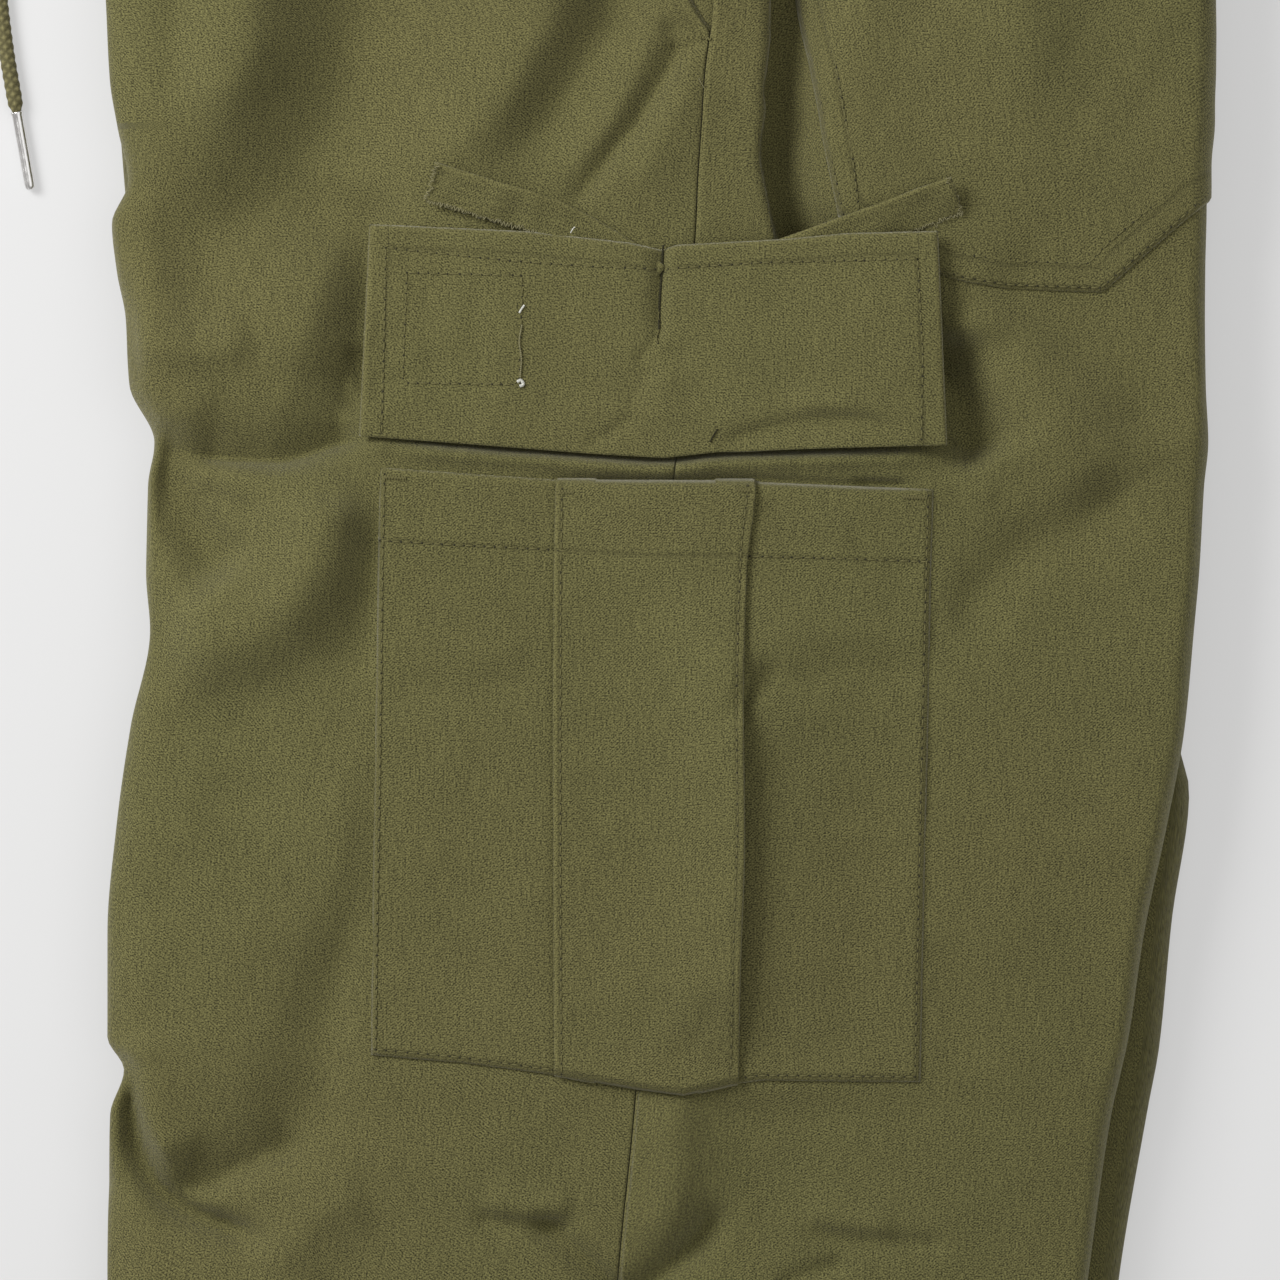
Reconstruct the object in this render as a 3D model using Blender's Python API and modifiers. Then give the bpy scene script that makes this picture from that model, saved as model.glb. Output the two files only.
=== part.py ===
"""Cargo trousers laid on their side, leg on leg, with the front edge to the left.

Row frame: +X runs from the front of the garment to its back, +Y to the waist and +Z up
from the surface that it lies on.  The left leg lies on the right one.  Every cut piece of
cloth is a wall of its own, and the legs, the hips and the waist are open tubes.

Lengths here are millimetres, and become metres when a mesh is made.
"""

import math

import bpy
import numpy as np

METRES = 0.001

# Driving sizes
WAIST_Y = 510.0
HEM_Y = -510.0
BAND_HEIGHT = 38.0
FRONT_DROP = 16.0  # the waist is this much lower at the front than at the back
DROP_FROM_Y = 330.0  # the waist's slope fades out here

CLOTH = 1.2  # one layer of cloth
BAND_CLOTH = 2.4  # the waistband is folded over its elastic
FLAP_CLOTH = 1.6  # two layers stitched together
TAB_CLOTH = 1.0
POCKET_CLOTH = 1.0
GAP = 0.3
ON_PANEL_GAP = 0.5  # under what lies on a curved panel
SEAM_GAP = 0.5

# Heights of the faces that lie on each other
FLOOR_Z = 0.0
RIGHT_INNER_Z = 10.4
LEFT_INNER_Z = 11.1

SHOULDER = 20.0  # the cloth starts to turn down this far from the leg's edge
TUCK = 6.0  # the fold turns back under by this much
EDGE_SHARE = 0.45  # the height of the outermost line, as a share of the leg's own height
CROWN_FALL = 2.5  # the outside is this much lower at the leg's edge than in its middle
EDGE_FADE = 16.0  # folds fade out over this much beside the leg's edge

# The left leg as it lies: y, front edge, back edge, side seam, height of the top
LEFT_OUTLINE = (
    # y, front_x, back_x, seam_x, crown_z
    (510, -166, 176, 20.0, 24.0),
    (470, -171, 180, 20.0, 27.0),
    (420, -181, 184, 19.5, 29.5),
    (380, -187.4, 186, 18.5, 30.5),
    (340, -185.3, 184.5, 17.7, 30.5),
    (314, -184.0, 184.3, 14.8, 30.5),
    (298, -181.4, 183.8, 13.8, 30.5),
    (280, -178.0, 183.0, 12.6, 30.5),
    (266, -183.4, 182.8, 12.0, 30.5),
    (250, -181.7, 182.4, 11.0, 30.5),
    (234, -178.6, 182.3, 9.8, 30.5),
    (212, -177.4, 182.6, 8.0, 30.5),
    (193, -169.2, 183.4, 6.1, 30.5),
    (178, -171.4, 182.0, 4.3, 30.5),
    (150, -172.0, 180.4, 2.6, 30.5),
    (130, -170.4, 178.6, 1.4, 30.5),
    (98, -177.0, 175.6, -0.6, 30.5),
    (64, -181.8, 169.4, -2.7, 30.5),
    (29, -184.8, 162.0, -4.8, 30.0),
    (-6, -184.8, 156.8, -6.9, 29.5),
    (-17, -179.2, 154.4, -7.5, 29.5),
    (-32, -183.8, 151.0, -8.7, 29.0),
    (-86, -184.8, 143.3, -14.0, 28.0),
    (-200, -181, 128, -20.5, 27.0),
    (-300, -177, 114, -26.2, 26.5),
    (-400, -171, 101, -31.9, 26.0),
    (-510, -166, 89, -38.0, 25.0),
)

# The right leg under it: y, front edge, back edge
RIGHT_OUTLINE = (
    # y, front_x, back_x
    (510, -166, 176),
    (470, -171, 180),
    (420, -181, 184),
    (380, -186, 186),
    (340, -184, 183),
    (250, -177, 179),
    (180, -167, 178),
    (130, -166, 175),
    (94, -172, 174.0),
    (76, -176, 177.7),
    (33, -180, 171.9),
    (-10, -178, 167.6),
    (-30, -177, 163.9),
    (-86, -175, 154.3),
    (-200, -166, 141),
    (-300, -157, 130),
    (-400, -149, 121),
    (-510, -141, 114),
)

# Seat curve between the legs: it leaves the front edge and the back edge at these heights
# and meets the inseam at the crotch.
FRONT_RISE_Y = 298.0
BACK_RISE_Y = 340.0
CROTCH_Y = 196.0
RISE_POWER = 2.3

# The largest folds: name, height, reach on the left of the line, reach on its right, line
FOLDS = (
    ("hip_crest", 3.5, 24, 13, ((-118, 390), (-133, 353), (-141, 330), (-154, 303), (-168, 285))),
    ("hip_valley", -6.0, 17, 26, ((-106, 385), (-118, 333), (-125, 307), (-141, 283), (-178, 277))),
    ("pocket_crest", 2.0, 26, 12, ((-20, 385), (-40, 340), (-48, 320), (-60, 300), (-76, 284))),
    ("pocket_valley", -6.0, 11, 14, ((2, 385), (-19, 340), (-28, 318), (-36, 300), (-48, 277))),
    ("seam_gully", -11.0, 7, 15, ((34, 400), (36, 340), (38, 303), (43, 268), (64, 234), (98, 206))),
    ("seat_crest", 3.0, 15, 16, ((106, 228), (130, 203), (152, 180))),
    ("seat_valley", -3.0, 16, 18, ((104, 238), (134, 231), (155, 212), (166, 190))),
    ("rope_valley", -5.0, 11, 10, ((-160, 200), (-143, 194), (-126, 197), (-112, 206))),
    ("rope_crest", 3.0, 10, 10, ((-166, 187), (-152, 182), (-136, 183), (-120, 188))),
    ("thigh_crest", 3.5, 12, 18, ((-110, 180), (-112, 163), (-120, 143), (-137, 133), (-163, 130))),
    ("thigh_valley", -4.5, 12, 14, ((-104, 133), (-120, 117), (-147, 112), (-168, 116))),
    ("knee_crest", 3.5, 26, 10, ((-88, 66), (-108, 41), (-121, 26), (-134, -15), (-148, -36))),
    ("knee_valley", -4.5, 10, 13, ((-110, 18), (-115, 0), (-121, -24), (-133, -44), (-155, -57))),
    ("tuck_valley", -5.0, 9, 9, ((-176, -30), (-172, -46), (-163, -59), (-136, -72))),
    ("shin_valley", -4.0, 11, 12, ((-122, -68), (-90, -96), (-82, -118))),
    ("pinch", -4.0, 11, 11, ((-24, -84), (-13, -85), (4, -77))),
    ("calf_crest", 3.0, 22, 14, ((60, -120), (20, -150), (-30, -170), (-90, -176))),
    ("calf_valley", -4.0, 14, 18, ((74, -150), (30, -182), (-25, -203), (-95, -210))),
    ("hem_crest", 2.5, 20, 16, ((-140, -300), (-80, -318), (-20, -352))),
    ("hem_valley", -3.5, 14, 18, ((-150, -262), (-95, -284), (-30, -300), (40, -340))),
)

# Cargo pocket, about its own axis, which leans to the front on its way down
POCKET_TOP_Y = 178.0
POCKET_BOTTOM_Y = -25.0
FLAT_TOP_Y = 198.0  # the cloth is held flat up to the flap's seam
FLAT_SIDES = (-4.0, 14.0)  # and it may fold again from the first to the second of these
FLAT_FADES = (16.0, 20.0)  # past the pocket's sides, and this far below it and above the seam
POCKET_HALF = 92.3
POCKET_LINE = 62.5  # a line of the panel's mesh under each side of the pocket
PLEAT_HALF = 32.5
PLEAT_INNER = 12.0  # the last lines of the pleat's face, beside the axis
PLEAT_ROUND = 1.0  # each turn of the pleat is this round
PLEAT_UNDER = 14.0  # the pleat's cloth turns back under itself by this much
AXIS_TOP_X = -1.7
AXIS_LEAN = 0.0163  # for each millimetre down

# Lines that the left leg's mesh follows, as distances from the pocket's axis.  The first
# and the last of each half are the pleat's and the pocket's edges where the pocket is; at
# the hips the back's second is the gully and its third is the back pocket's edge.
LEFT_LINES = (
    # y, front pleat, front 2, 3, 4, front pocket, back pleat, back 2, 3, 4, back pocket
    (470, 50.0, 69.0, 88.0, 107.0, 125.0, 22.0, 30.0, 39.0, 75.0, 112.0),
    (340, 35.0, 52.0, 70.0, 88.0, 107.0, 27.0, 35.4, 45.1, 81.0, 117.0),
    (303, 33.5, 49.0, 66.0, 83.0, 101.0, 28.0, 37.6, 52.7, 84.0, 114.0),
    (268, 33.0, 48.0, 64.0, 80.0, 96.0, 29.7, 43.0, 60.0, 84.0, 108.0),
    (190, 32.5, 47.5, 62.5, 77.5, 92.3, 32.5, 47.5, 62.5, 77.5, 92.3),
    (-25, 32.5, 47.5, 62.5, 77.5, 92.3, 32.5, 47.5, 62.5, 77.5, 92.3),
    (-120, 38.0, 56.0, 74.0, 92.0, 109.0, 25.0, 43.0, 61.0, 79.0, 95.0),
    (-510, 39.0, 53.0, 67.0, 81.0, 95.0, -9.0, 7.0, 23.0, 39.0, 55.0),
)
LEFT_ROWS = (
    470, 452, 432, 410, 386, 362, 340, 330, 314, 298, 283, 268, 256, 245, 234, 222, 210, 200,
    190, 178, 164, 150, 136, 122, 106, 88, 68, 48, 30, 14, -4, -25, -36, -48, -60, -74, -92,
    -115, -145, -185, -230, -290, -360, -435, -510,
)
LEFT_SHOULDER_STEPS = (0.34, 0.67, 1.0)
LEFT_TURNS = (45, 90, 135, 180)
INNER_STEPS = (0.5, 1.0)
BACK_POCKET_LINE = 3
HALF_TURN = 2  # turns of a leg's edge that the back pocket runs round

# Flap, turned up: it stands over the panel on its tabs
FLAP_SEAM = ((-100, 194), (-65, 192), (-1.5, 187.3), (34, 190), (95.3, 191.3))
FLAP_EDGE = ((-96.8, 265.2), (-44, 262.8), (0.7, 257.0), (13, 258.2), (62, 262.1), (92.5, 262.8))
FLAP_STATIONS = 9
FLAP_ROWS = (0.0, 0.25, 0.6, 1.0)
FLAP_SEAM_RISE = 2.4
FLAP_RISE = 4.3
TAB_RISE = 2.4
UNDER_FLAP_X = range(-95, 96, 5)  # where the panel under the flap is measured
UNDER_FLAP_Y = range(188, 264, 4)
TAB_WIDTH = 12.0
FRONT_TAB = ((-2, 246), (-14, 255), (-34, 266), (-56, 273), (-76.6, 278.6))
BACK_TAB = ((4, 240), (30, 250), (56, 259), (78, 267), (98.5, 274.6))

# Back pocket, with its lower corners cut off
BACK_POCKET_TOP_Y = 432.0
BACK_POCKET_BOTTOM = ((59.8, 268.0), (94.0, 247.7), (147.7, 242.8), (182.3, 273.4))

# Slanted hip pocket: its curved opening runs from the side seam up to the waistband
OPENING_LOW_Y = 330.0
OPENING_WIDTH = 58.0  # from the side seam at the waistband
OPENING_CURVE = 0.75
FACING_DEPTH = 0.9  # between the panel's inside and the facing
FACING_LEAST = 3.0  # the facing's width at the opening's lower end

# The right leg's outside lies on the floor, and its pockets press into it
RIGHT_LINES = (
    # y, front 1, 2, 3, back 1, 2, 3
    (470, 60.0, 110.0, 120.0, 52.0, 57.0, 152.0),
    (265, 50.0, 100.0, 110.0, 54.5, 59.5, 154.5),
    (191, 45.0, 89.0, 97.3, 45.0, 89.0, 97.3),
    (-28, 45.0, 89.0, 97.3, 45.0, 89.0, 97.3),
    (-510, 45.0, 70.0, 80.0, 20.0, 50.0, 60.0),
)
RIGHT_ROWS = (
    470, 435, 429, 384, 340, 330, 298, 271, 265, 238, 200, 191, 185, 178, 172, 150, 121, 115,
    60, 10, -22, -28, -90, -172, -260, -350, -440, -510,
)
RIGHT_SHOULDER_STEPS = (0.7, 1.0)
RIGHT_TURNS = (45, 90, 135, 180)
RIGHT_SHOULDER = 9.0
RIGHT_POCKET_HALF = 88.5
RIGHT_FLAP_HALF = 96.8
RIGHT_BACK_POCKET_X = (57.0, 155.0)
RIGHT_BACK_POCKET_CORNER = 26.0
RIGHT_SEAT_STEP = (56.9, 154.6)  # from the axis: the panel rises between its back lines 2 and 3
STEP_MARGIN = 1.0  # past a pocket's or a flap's sides, for the panel's lines there
BACK_POCKET_CLEAR = 3.0  # from the step in the panel at the side seam's end of the pocket
FLAP_CLEAR = 1.5
# Rows at the two ends of each step that the panel makes over a layer: outside, inside
BACK_POCKET_STEPS = ((435, 429), (265, 271))
POCKET_STEPS = ((178, 172), (-28, -22))
FLAP_STEPS = ((191, 185), (115, 121))

# Waistband, as a ring: its stations across each side as shares of half its width, then its
# turn at each end as (distance in from the edge, share of the height)
BAND_STATIONS = (-0.86, -0.6, -0.3, 0.0, 0.3, 0.6, 0.86)
BAND_TURN = ((6.0, 0.9), (0.0, 0.5), (6.0, 0.1))
BAND_BELOW_CROWN = 2.0

# Drawcord: two free ends from eyelets beside the front edge of the waistband
CORD_RADIUS = 2.6
CORD_SIDES = 2
CORD_POINTS = 26
CORD_LOWEST = 2.75
EYELET_Y = 491.0  # before the waist's drop
EYELET_RADIUS = 5.0
EYELET_WIRE = 1.1
AGLET_RADIUS = 1.9
AGLET_LENGTH = 26.0
AGLET_LIFT = 0.1
# Routes: x, y, z along the line that the cord follows
LEFT_CORD = (
    (-146, 475.5, 27.5), (-152, 477, 33.5), (-164, 475, 33.0), (-178, 467, 25.0),
    (-190, 455, 12.0), (-202, 437, 3.2), (-213, 413, 2.75), (-220, 384, 2.75),
    (-222.5, 356, 2.75), (-220, 328, 2.75), (-216, 304, 2.75),
)
RIGHT_CORD = (
    (-173, 474, 6.0), (-180, 472, 3.4), (-196, 466, 2.75), (-216, 454, 2.75), (-233, 434, 2.75),
    (-243, 408, 2.75), (-247, 380, 2.75), (-247, 352, 2.75), (-243, 325, 2.75), (-239, 302, 2.75),
)

CLOTH_COLOUR = (0.125, 0.117, 0.052)
CORD_COLOUR = (0.095, 0.085, 0.040)
METAL_COLOUR = (0.72, 0.72, 0.72)


# ---------------------------------------------------------------- curves and folds


def smooth_through(table, column):
    """A function of y through a table's column: a monotone cubic, so it never overshoots."""
    rows = np.array(sorted(table), float)
    y, v = rows[:, 0], rows[:, column]
    step = np.diff(y)
    slope = np.diff(v) / step
    tangent = np.zeros(len(y))
    same_way = slope[:-1] * slope[1:] > 0
    harmonic = 2 * slope[:-1] * slope[1:] / np.where(same_way, slope[:-1] + slope[1:], 1.0)
    tangent[1:-1] = np.where(same_way, harmonic, 0.0)
    tangent[0], tangent[-1] = slope[0], slope[-1]

    def value(at):
        at = np.clip(at, y[0], y[-1])
        k = np.clip(np.searchsorted(y, at) - 1, 0, len(step) - 1)
        t = (at - y[k]) / step[k]
        start = (1 + 2 * t) * (1 - t) ** 2 * v[k] + t * (1 - t) ** 2 * step[k] * tangent[k]
        end = t * t * (3 - 2 * t) * v[k + 1] + t * t * (t - 1) * step[k] * tangent[k + 1]
        return start + end

    return value


def smoothstep(low, high, value):
    t = np.clip((value - low) / (high - low), 0.0, 1.0)
    return t * t * (3 - 2 * t)


def fold_height(x, y):
    """The sum of the folds at (x, y): each falls off as a bell across its line."""
    total = 0.0
    for _, height, reach_left, reach_right, line in FOLDS:
        nearest, side = math.inf, 1.0
        for (ax, ay), (bx, by) in zip(line, line[1:]):
            dx, dy = bx - ax, by - ay
            along = ((x - ax) * dx + (y - ay) * dy) / (dx * dx + dy * dy)
            along = min(1.0, max(0.0, along))
            away = math.hypot(x - ax - along * dx, y - ay - along * dy)
            if away < nearest:
                # The lines run down the leg, so a point on their left has a positive cross.
                nearest, side = away, dx * (y - ay) - dy * (x - ax)
        reach = reach_right if side > 0 else reach_left
        total += height * math.exp(-((nearest / reach) ** 2))
    return total


front_edge_left = smooth_through(LEFT_OUTLINE, 1)
back_edge_left = smooth_through(LEFT_OUTLINE, 2)
side_seam = smooth_through(LEFT_OUTLINE, 3)
crown = smooth_through(LEFT_OUTLINE, 4)
front_edge_right = smooth_through(RIGHT_OUTLINE, 1)
back_edge_right = smooth_through(RIGHT_OUTLINE, 2)


def pocket_axis(y):
    return AXIS_TOP_X - AXIS_LEAN * (POCKET_TOP_Y - y)


def flat_share(x, y):
    """1 where stitched pieces hold the cloth flat: under the cargo pocket and at its flap."""
    from_axis = abs(x - pocket_axis(y))
    near, far = FLAT_SIDES
    below, above = FLAT_FADES
    across = 1 - smoothstep(POCKET_HALF + near, POCKET_HALF + far, from_axis)
    up = smoothstep(POCKET_BOTTOM_Y - below, POCKET_BOTTOM_Y, y)
    down = 1 - smoothstep(FLAT_TOP_Y, FLAT_TOP_Y + above, y)
    return across * up * down


def left_top(x, y):
    """Height of the left leg's outside: a low crown, the folds, and flat under the pocket."""
    middle = (front_edge_left(y) + back_edge_left(y)) / 2
    half = (back_edge_left(y) - front_edge_left(y)) / 2
    lowering = CROWN_FALL * min(1.0, abs(x - middle) / half) ** 4
    inside = smoothstep(0.0, EDGE_FADE, half - abs(x - middle))
    return crown(y) - lowering + fold_height(x, y) * inside * (1 - flat_share(x, y))


def inside_box(x, y, x_range, steps):
    """Whether (x, y) is on the raised side of each step and within the x range."""
    (_, top), (_, bottom) = steps
    return x_range[0] <= x <= x_range[1] and bottom <= y <= top


def right_bottom(x, y):
    """Height of the right leg's outside: on the floor, or over the pockets pressed flat."""
    axis = pocket_axis(y)
    layers = 0
    pocket, flap = RIGHT_POCKET_HALF + STEP_MARGIN, RIGHT_FLAP_HALF + STEP_MARGIN
    if inside_box(x - axis, y, (-pocket, pocket), POCKET_STEPS):
        layers = 1
    if inside_box(x - axis, y, (-flap, flap), FLAP_STEPS):
        layers = 2
    if inside_box(x - axis, y, RIGHT_SEAT_STEP, BACK_POCKET_STEPS):
        layers = 1
    return FLOOR_Z + layers * (POCKET_CLOTH + GAP)


# ---------------------------------------------------------------- meshes


def waist_drop(x, y):
    """The waist is lower at the front: how far a point comes down."""
    forward = np.clip((180 - x) / 360, 0.0, 1.0)
    return FRONT_DROP * forward * smoothstep(DROP_FROM_Y, WAIST_Y - BAND_HEIGHT, y)


def in_place(point):
    x, y, z = point
    return (x * METRES, (y - waist_drop(x, y)) * METRES, z * METRES)


def into_collection(obj):
    for collection in list(obj.users_collection):
        collection.objects.unlink(obj)
    bpy.data.collections["cargo_trousers"].objects.link(obj)


def wall(obj, thickness, offset=-1.0):
    """Gives an open surface its thickness; offset -1 goes in from it, 0 to both sides."""
    solidify = obj.modifiers.new("cloth", "SOLIDIFY")
    solidify.thickness = thickness * METRES
    solidify.offset = offset
    return obj


def shade(obj, angle=40):
    obj.data.shade_smooth()
    obj.data.set_sharp_from_angle(angle=math.radians(angle))
    return obj


def surface(name, columns, material, flip=False, cyclic=False):
    """An open surface over columns of points, each given as (its first row, its points).

    Rows match across columns.  A column may start or end at another row than its neighbour:
    nothing fills the space above its first point, and triangles run to its last one.
    """
    points, index = [], []
    for first, column in columns:
        index.append((first, len(points), len(column)))
        points += [in_place(p) for p in column]
    pairs = list(zip(index, index[1:]))
    if cyclic:
        pairs.append((index[-1], index[0]))
    faces = []
    for (first_a, start_a, count_a), (first_b, start_b, count_b) in pairs:
        last = max(first_a + count_a, first_b + count_b) - 1
        for row in range(max(first_a, first_b), last):
            a = [start_a + min(r - first_a, count_a - 1) for r in (row, row + 1)]
            b = [start_b + min(r - first_b, count_b - 1) for r in (row + 1, row)]
            corners = list(dict.fromkeys(a + b))
            faces.append(corners[::-1] if flip else corners)
    mesh = bpy.data.meshes.new(name)
    mesh.from_pydata(points, [], faces)
    mesh.validate()
    obj = bpy.data.objects.new(name, mesh)
    obj.data.materials.append(material)
    into_collection(obj)
    return obj


# ---------------------------------------------------------------- legs


def opening_x(y):
    """The hip pocket's slanted opening; the panel reaches the side seam below its end."""
    up = np.clip((y - OPENING_LOW_Y) / (WAIST_Y - BAND_HEIGHT - OPENING_LOW_Y), 0.0, 1.0)
    return side_seam(y) - OPENING_WIDTH * up**OPENING_CURVE


class Leg:
    """One leg with its half of the hips: a front panel and a back panel around a tube."""

    def __init__(self, side, rows, lines, edges, outer_z, inner_z, shoulder, steps, turns):
        self.side = side
        self.rows = rows
        self.lines = np.array(sorted(lines), float)
        self.edges = dict(zip(("front", "back"), edges))
        self.outer_z = outer_z
        self.inner_z = inner_z
        self.shoulder = shoulder
        self.steps = steps
        self.turns = turns
        self.outside = {half: self.outside_grid(half) for half in ("front", "back")}

    def sign(self, half):
        return -1.0 if half == "front" else 1.0

    def outer_start(self, half, y):
        """Where a panel's outside starts: at the side seam or at the hip pocket's opening."""
        if half == "front":
            return opening_x(y) - SEAM_GAP / 2
        return side_seam(y) + SEAM_GAP / 2

    def shoulder_x(self, half, y):
        return self.edges[half](y) - self.sign(half) * self.shoulder

    def stations(self, half, y):
        """x of the panel's start, of the mesh's lines and of the steps to the shoulder."""
        table = self.lines[:, 1:]
        count = table.shape[1] // 2
        table = table[:, :count] if half == "front" else table[:, count:]
        offsets = [np.interp(y, self.lines[:, 0], column) for column in table.T]
        found = [self.outer_start(half, y)]
        found += [pocket_axis(y) + self.sign(half) * offset for offset in offsets]
        last, shoulder = found[-1], self.shoulder_x(half, y)
        return found + [last + step * (shoulder - last) for step in self.steps]

    def turn(self, half, angle, y):
        """A point on the fold at the leg's edge: 0 is its shoulder and 180 the inside."""
        sign, a = self.sign(half), math.radians(angle)
        edge, shoulder_x = self.edges[half](y), self.shoulder_x(half, y)
        high = self.outer_z(shoulder_x, y)
        middle = self.inner_z + EDGE_SHARE * (high - self.inner_z)
        if angle <= 90:
            x = shoulder_x + sign * self.shoulder * math.sin(a)
            return (x, y, middle + (high - middle) * math.cos(a))
        x = edge - sign * TUCK * (1 - math.sin(a))
        return (x, y, middle + (middle - self.inner_z) * math.cos(a))

    def outside_grid(self, half):
        """The panel's outside and its fold, as an array of columns, rows and x, y, z."""
        rows = []
        for y in self.rows:
            row = [(x, y, self.outer_z(x, y)) for x in self.stations(half, y)]
            rows.append(row + [self.turn(half, angle, y) for angle in self.turns])
        return np.array(rows).transpose(1, 0, 2)

    def moved_out(self, half, distance):
        """The grid moved along its normals, away from the leg's inside."""
        grid = self.outside[half]
        across, along = np.gradient(grid, axis=0), np.gradient(grid, axis=1)
        normal = np.cross(across, along) * -self.sign(half)
        if self.side == "right":
            normal = -normal
        return grid + distance * normal / np.linalg.norm(normal, axis=2, keepdims=True)

    def inseam_x(self, y):
        """The inseam runs straight from the crotch to the middle of the hem."""
        ends = [(self.edges["front"](at) + self.edges["back"](at)) / 2 for at in (HEM_Y, CROTCH_Y)]
        return np.interp(y, (HEM_Y, CROTCH_Y), ends)

    def inner_columns(self, half):
        """The wall between the legs, from the fold to the inseam and up to the seat curve."""
        sign = self.sign(half)
        top = FRONT_RISE_Y if half == "front" else BACK_RISE_Y
        first = self.rows.index(top)
        for step in INNER_STEPS:
            rise_y = CROTCH_Y + (top - CROTCH_Y) * (1 - step) ** RISE_POWER
            column = []
            for row in self.rows[first:]:
                y = rise_y + (row - top) * (HEM_Y - rise_y) / (HEM_Y - top)
                start = self.edges[half](y) - sign * TUCK
                end = self.inseam_x(y) + sign * SEAM_GAP / 2
                column.append((start + step * (end - start), y, self.inner_z))
            yield first, column

    def panel(self, half, material):
        columns = [(0, list(column)) for column in self.outside[half]]
        columns += self.inner_columns(half)
        flip = (self.side == "left") == (half == "front")
        name = f"{self.side}_{half}_panel"
        return shade(wall(surface(name, columns, material, flip=flip), CLOTH))

    def pocket_facing(self, material):
        """The cloth that shows in a hip pocket's opening, from under the front panel."""
        rows = [k for k, y in enumerate(self.rows) if y >= OPENING_LOW_Y]
        down = (-1.0 if self.side == "left" else 1.0) * (CLOTH + FACING_DEPTH)
        start, under = self.outside["front"][0], self.outside["front"][1]
        columns = [(0, [(start[k] + under[k]) / 2 + (0, 0, down) for k in rows])]
        for share in (0.0, 0.5, 1.0):
            column = []
            for k in rows:
                y, seam_x = self.rows[k], side_seam(self.rows[k]) - SEAM_GAP
                x = min(start[k][0], seam_x - FACING_LEAST)
                x += share * (seam_x - x)
                column.append((x, y, self.outer_z(x, y) + down))
            columns.append((0, column))
        flip = self.side == "right"
        name = f"{self.side}_pocket_facing"
        return shade(wall(surface(name, columns, material, flip=flip), CLOTH))


# ---------------------------------------------------------------- what lies on the left leg


def cargo_pocket(leg, material):
    """A patch with a box pleat: its cloth turns under the box and back at each side."""
    low = ON_PANEL_GAP + POCKET_CLOTH / 2
    pitch = POCKET_CLOTH + GAP
    under = PLEAT_HALF - PLEAT_UNDER
    half_path = (
        # from the axis, height over the panel
        (POCKET_HALF, low),
        (POCKET_LINE, low),
        (PLEAT_HALF, low),
        (under + PLEAT_ROUND, low),
        (under, low + pitch / 2),
        (under + PLEAT_ROUND, low + pitch),
        (PLEAT_HALF - PLEAT_ROUND, low + pitch),
        (PLEAT_HALF, low + 1.5 * pitch),
        (PLEAT_HALF - PLEAT_ROUND, low + 2 * pitch),
        (PLEAT_INNER, low + 2 * pitch),
    )
    path = [(-d, h) for d, h in half_path] + [(d, h) for d, h in reversed(half_path)]
    rows = [y for y in leg.rows if POCKET_BOTTOM_Y <= y <= POCKET_TOP_Y]
    columns = []
    for from_axis, height in path:
        column = []
        for y in rows:
            x = pocket_axis(y) + from_axis
            column.append((x, y, leg.outer_z(x, y) + height))
        columns.append((0, column))
    obj = surface("left_cargo_pocket", columns, material)
    return shade(wall(obj, POCKET_CLOTH, offset=0.0))


def under_flap_level(leg):
    """The highest point of the panel under the flap, which lies level over it."""
    return max(leg.outer_z(x, y) for x in UNDER_FLAP_X for y in UNDER_FLAP_Y)


def cargo_flap(leg, material):
    """The flap turned up: from its seam it rises clear of the tabs and lies level."""
    seam_x, seam_y = np.transpose(FLAP_SEAM)
    edge_x, edge_y = np.transpose(FLAP_EDGE)
    level = under_flap_level(leg)
    columns = []
    for share in np.linspace(0.0, 1.0, FLAP_STATIONS):
        low_x = seam_x[0] + share * (seam_x[-1] - seam_x[0])
        high_x = edge_x[0] + share * (edge_x[-1] - edge_x[0])
        low = np.array((low_x, np.interp(low_x, seam_x, seam_y), level + FLAP_SEAM_RISE))
        high = np.array((high_x, np.interp(high_x, edge_x, edge_y), level + FLAP_RISE))
        column = []
        for up in FLAP_ROWS:
            point = low + up * (high - low)
            point[2] = low[2] + smoothstep(0.0, 0.6, up) * (high[2] - low[2])
            column.append(point)
        columns.append((0, column))
    return shade(wall(surface("left_cargo_flap", columns, material, flip=True), FLAP_CLOTH))


def flap_tab(name, leg, line, material):
    """A narrow strip that is sewn under the flap and sticks out past its free edge."""
    line = np.array(line, float)
    step = np.gradient(line, axis=0)
    across = np.stack([-step[:, 1], step[:, 0]], axis=1)
    across *= TAB_WIDTH / 2 / np.linalg.norm(across, axis=1)[:, None]
    height = under_flap_level(leg) + TAB_RISE
    columns = [
        (0, [(*(p + side * a), height) for p, a in zip(line, across)]) for side in (-1, 0, 1)
    ]
    # The strip's upper face keeps its sense whichever way its line runs.
    return shade(wall(surface(name, columns, material, flip=False), TAB_CLOTH))


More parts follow.
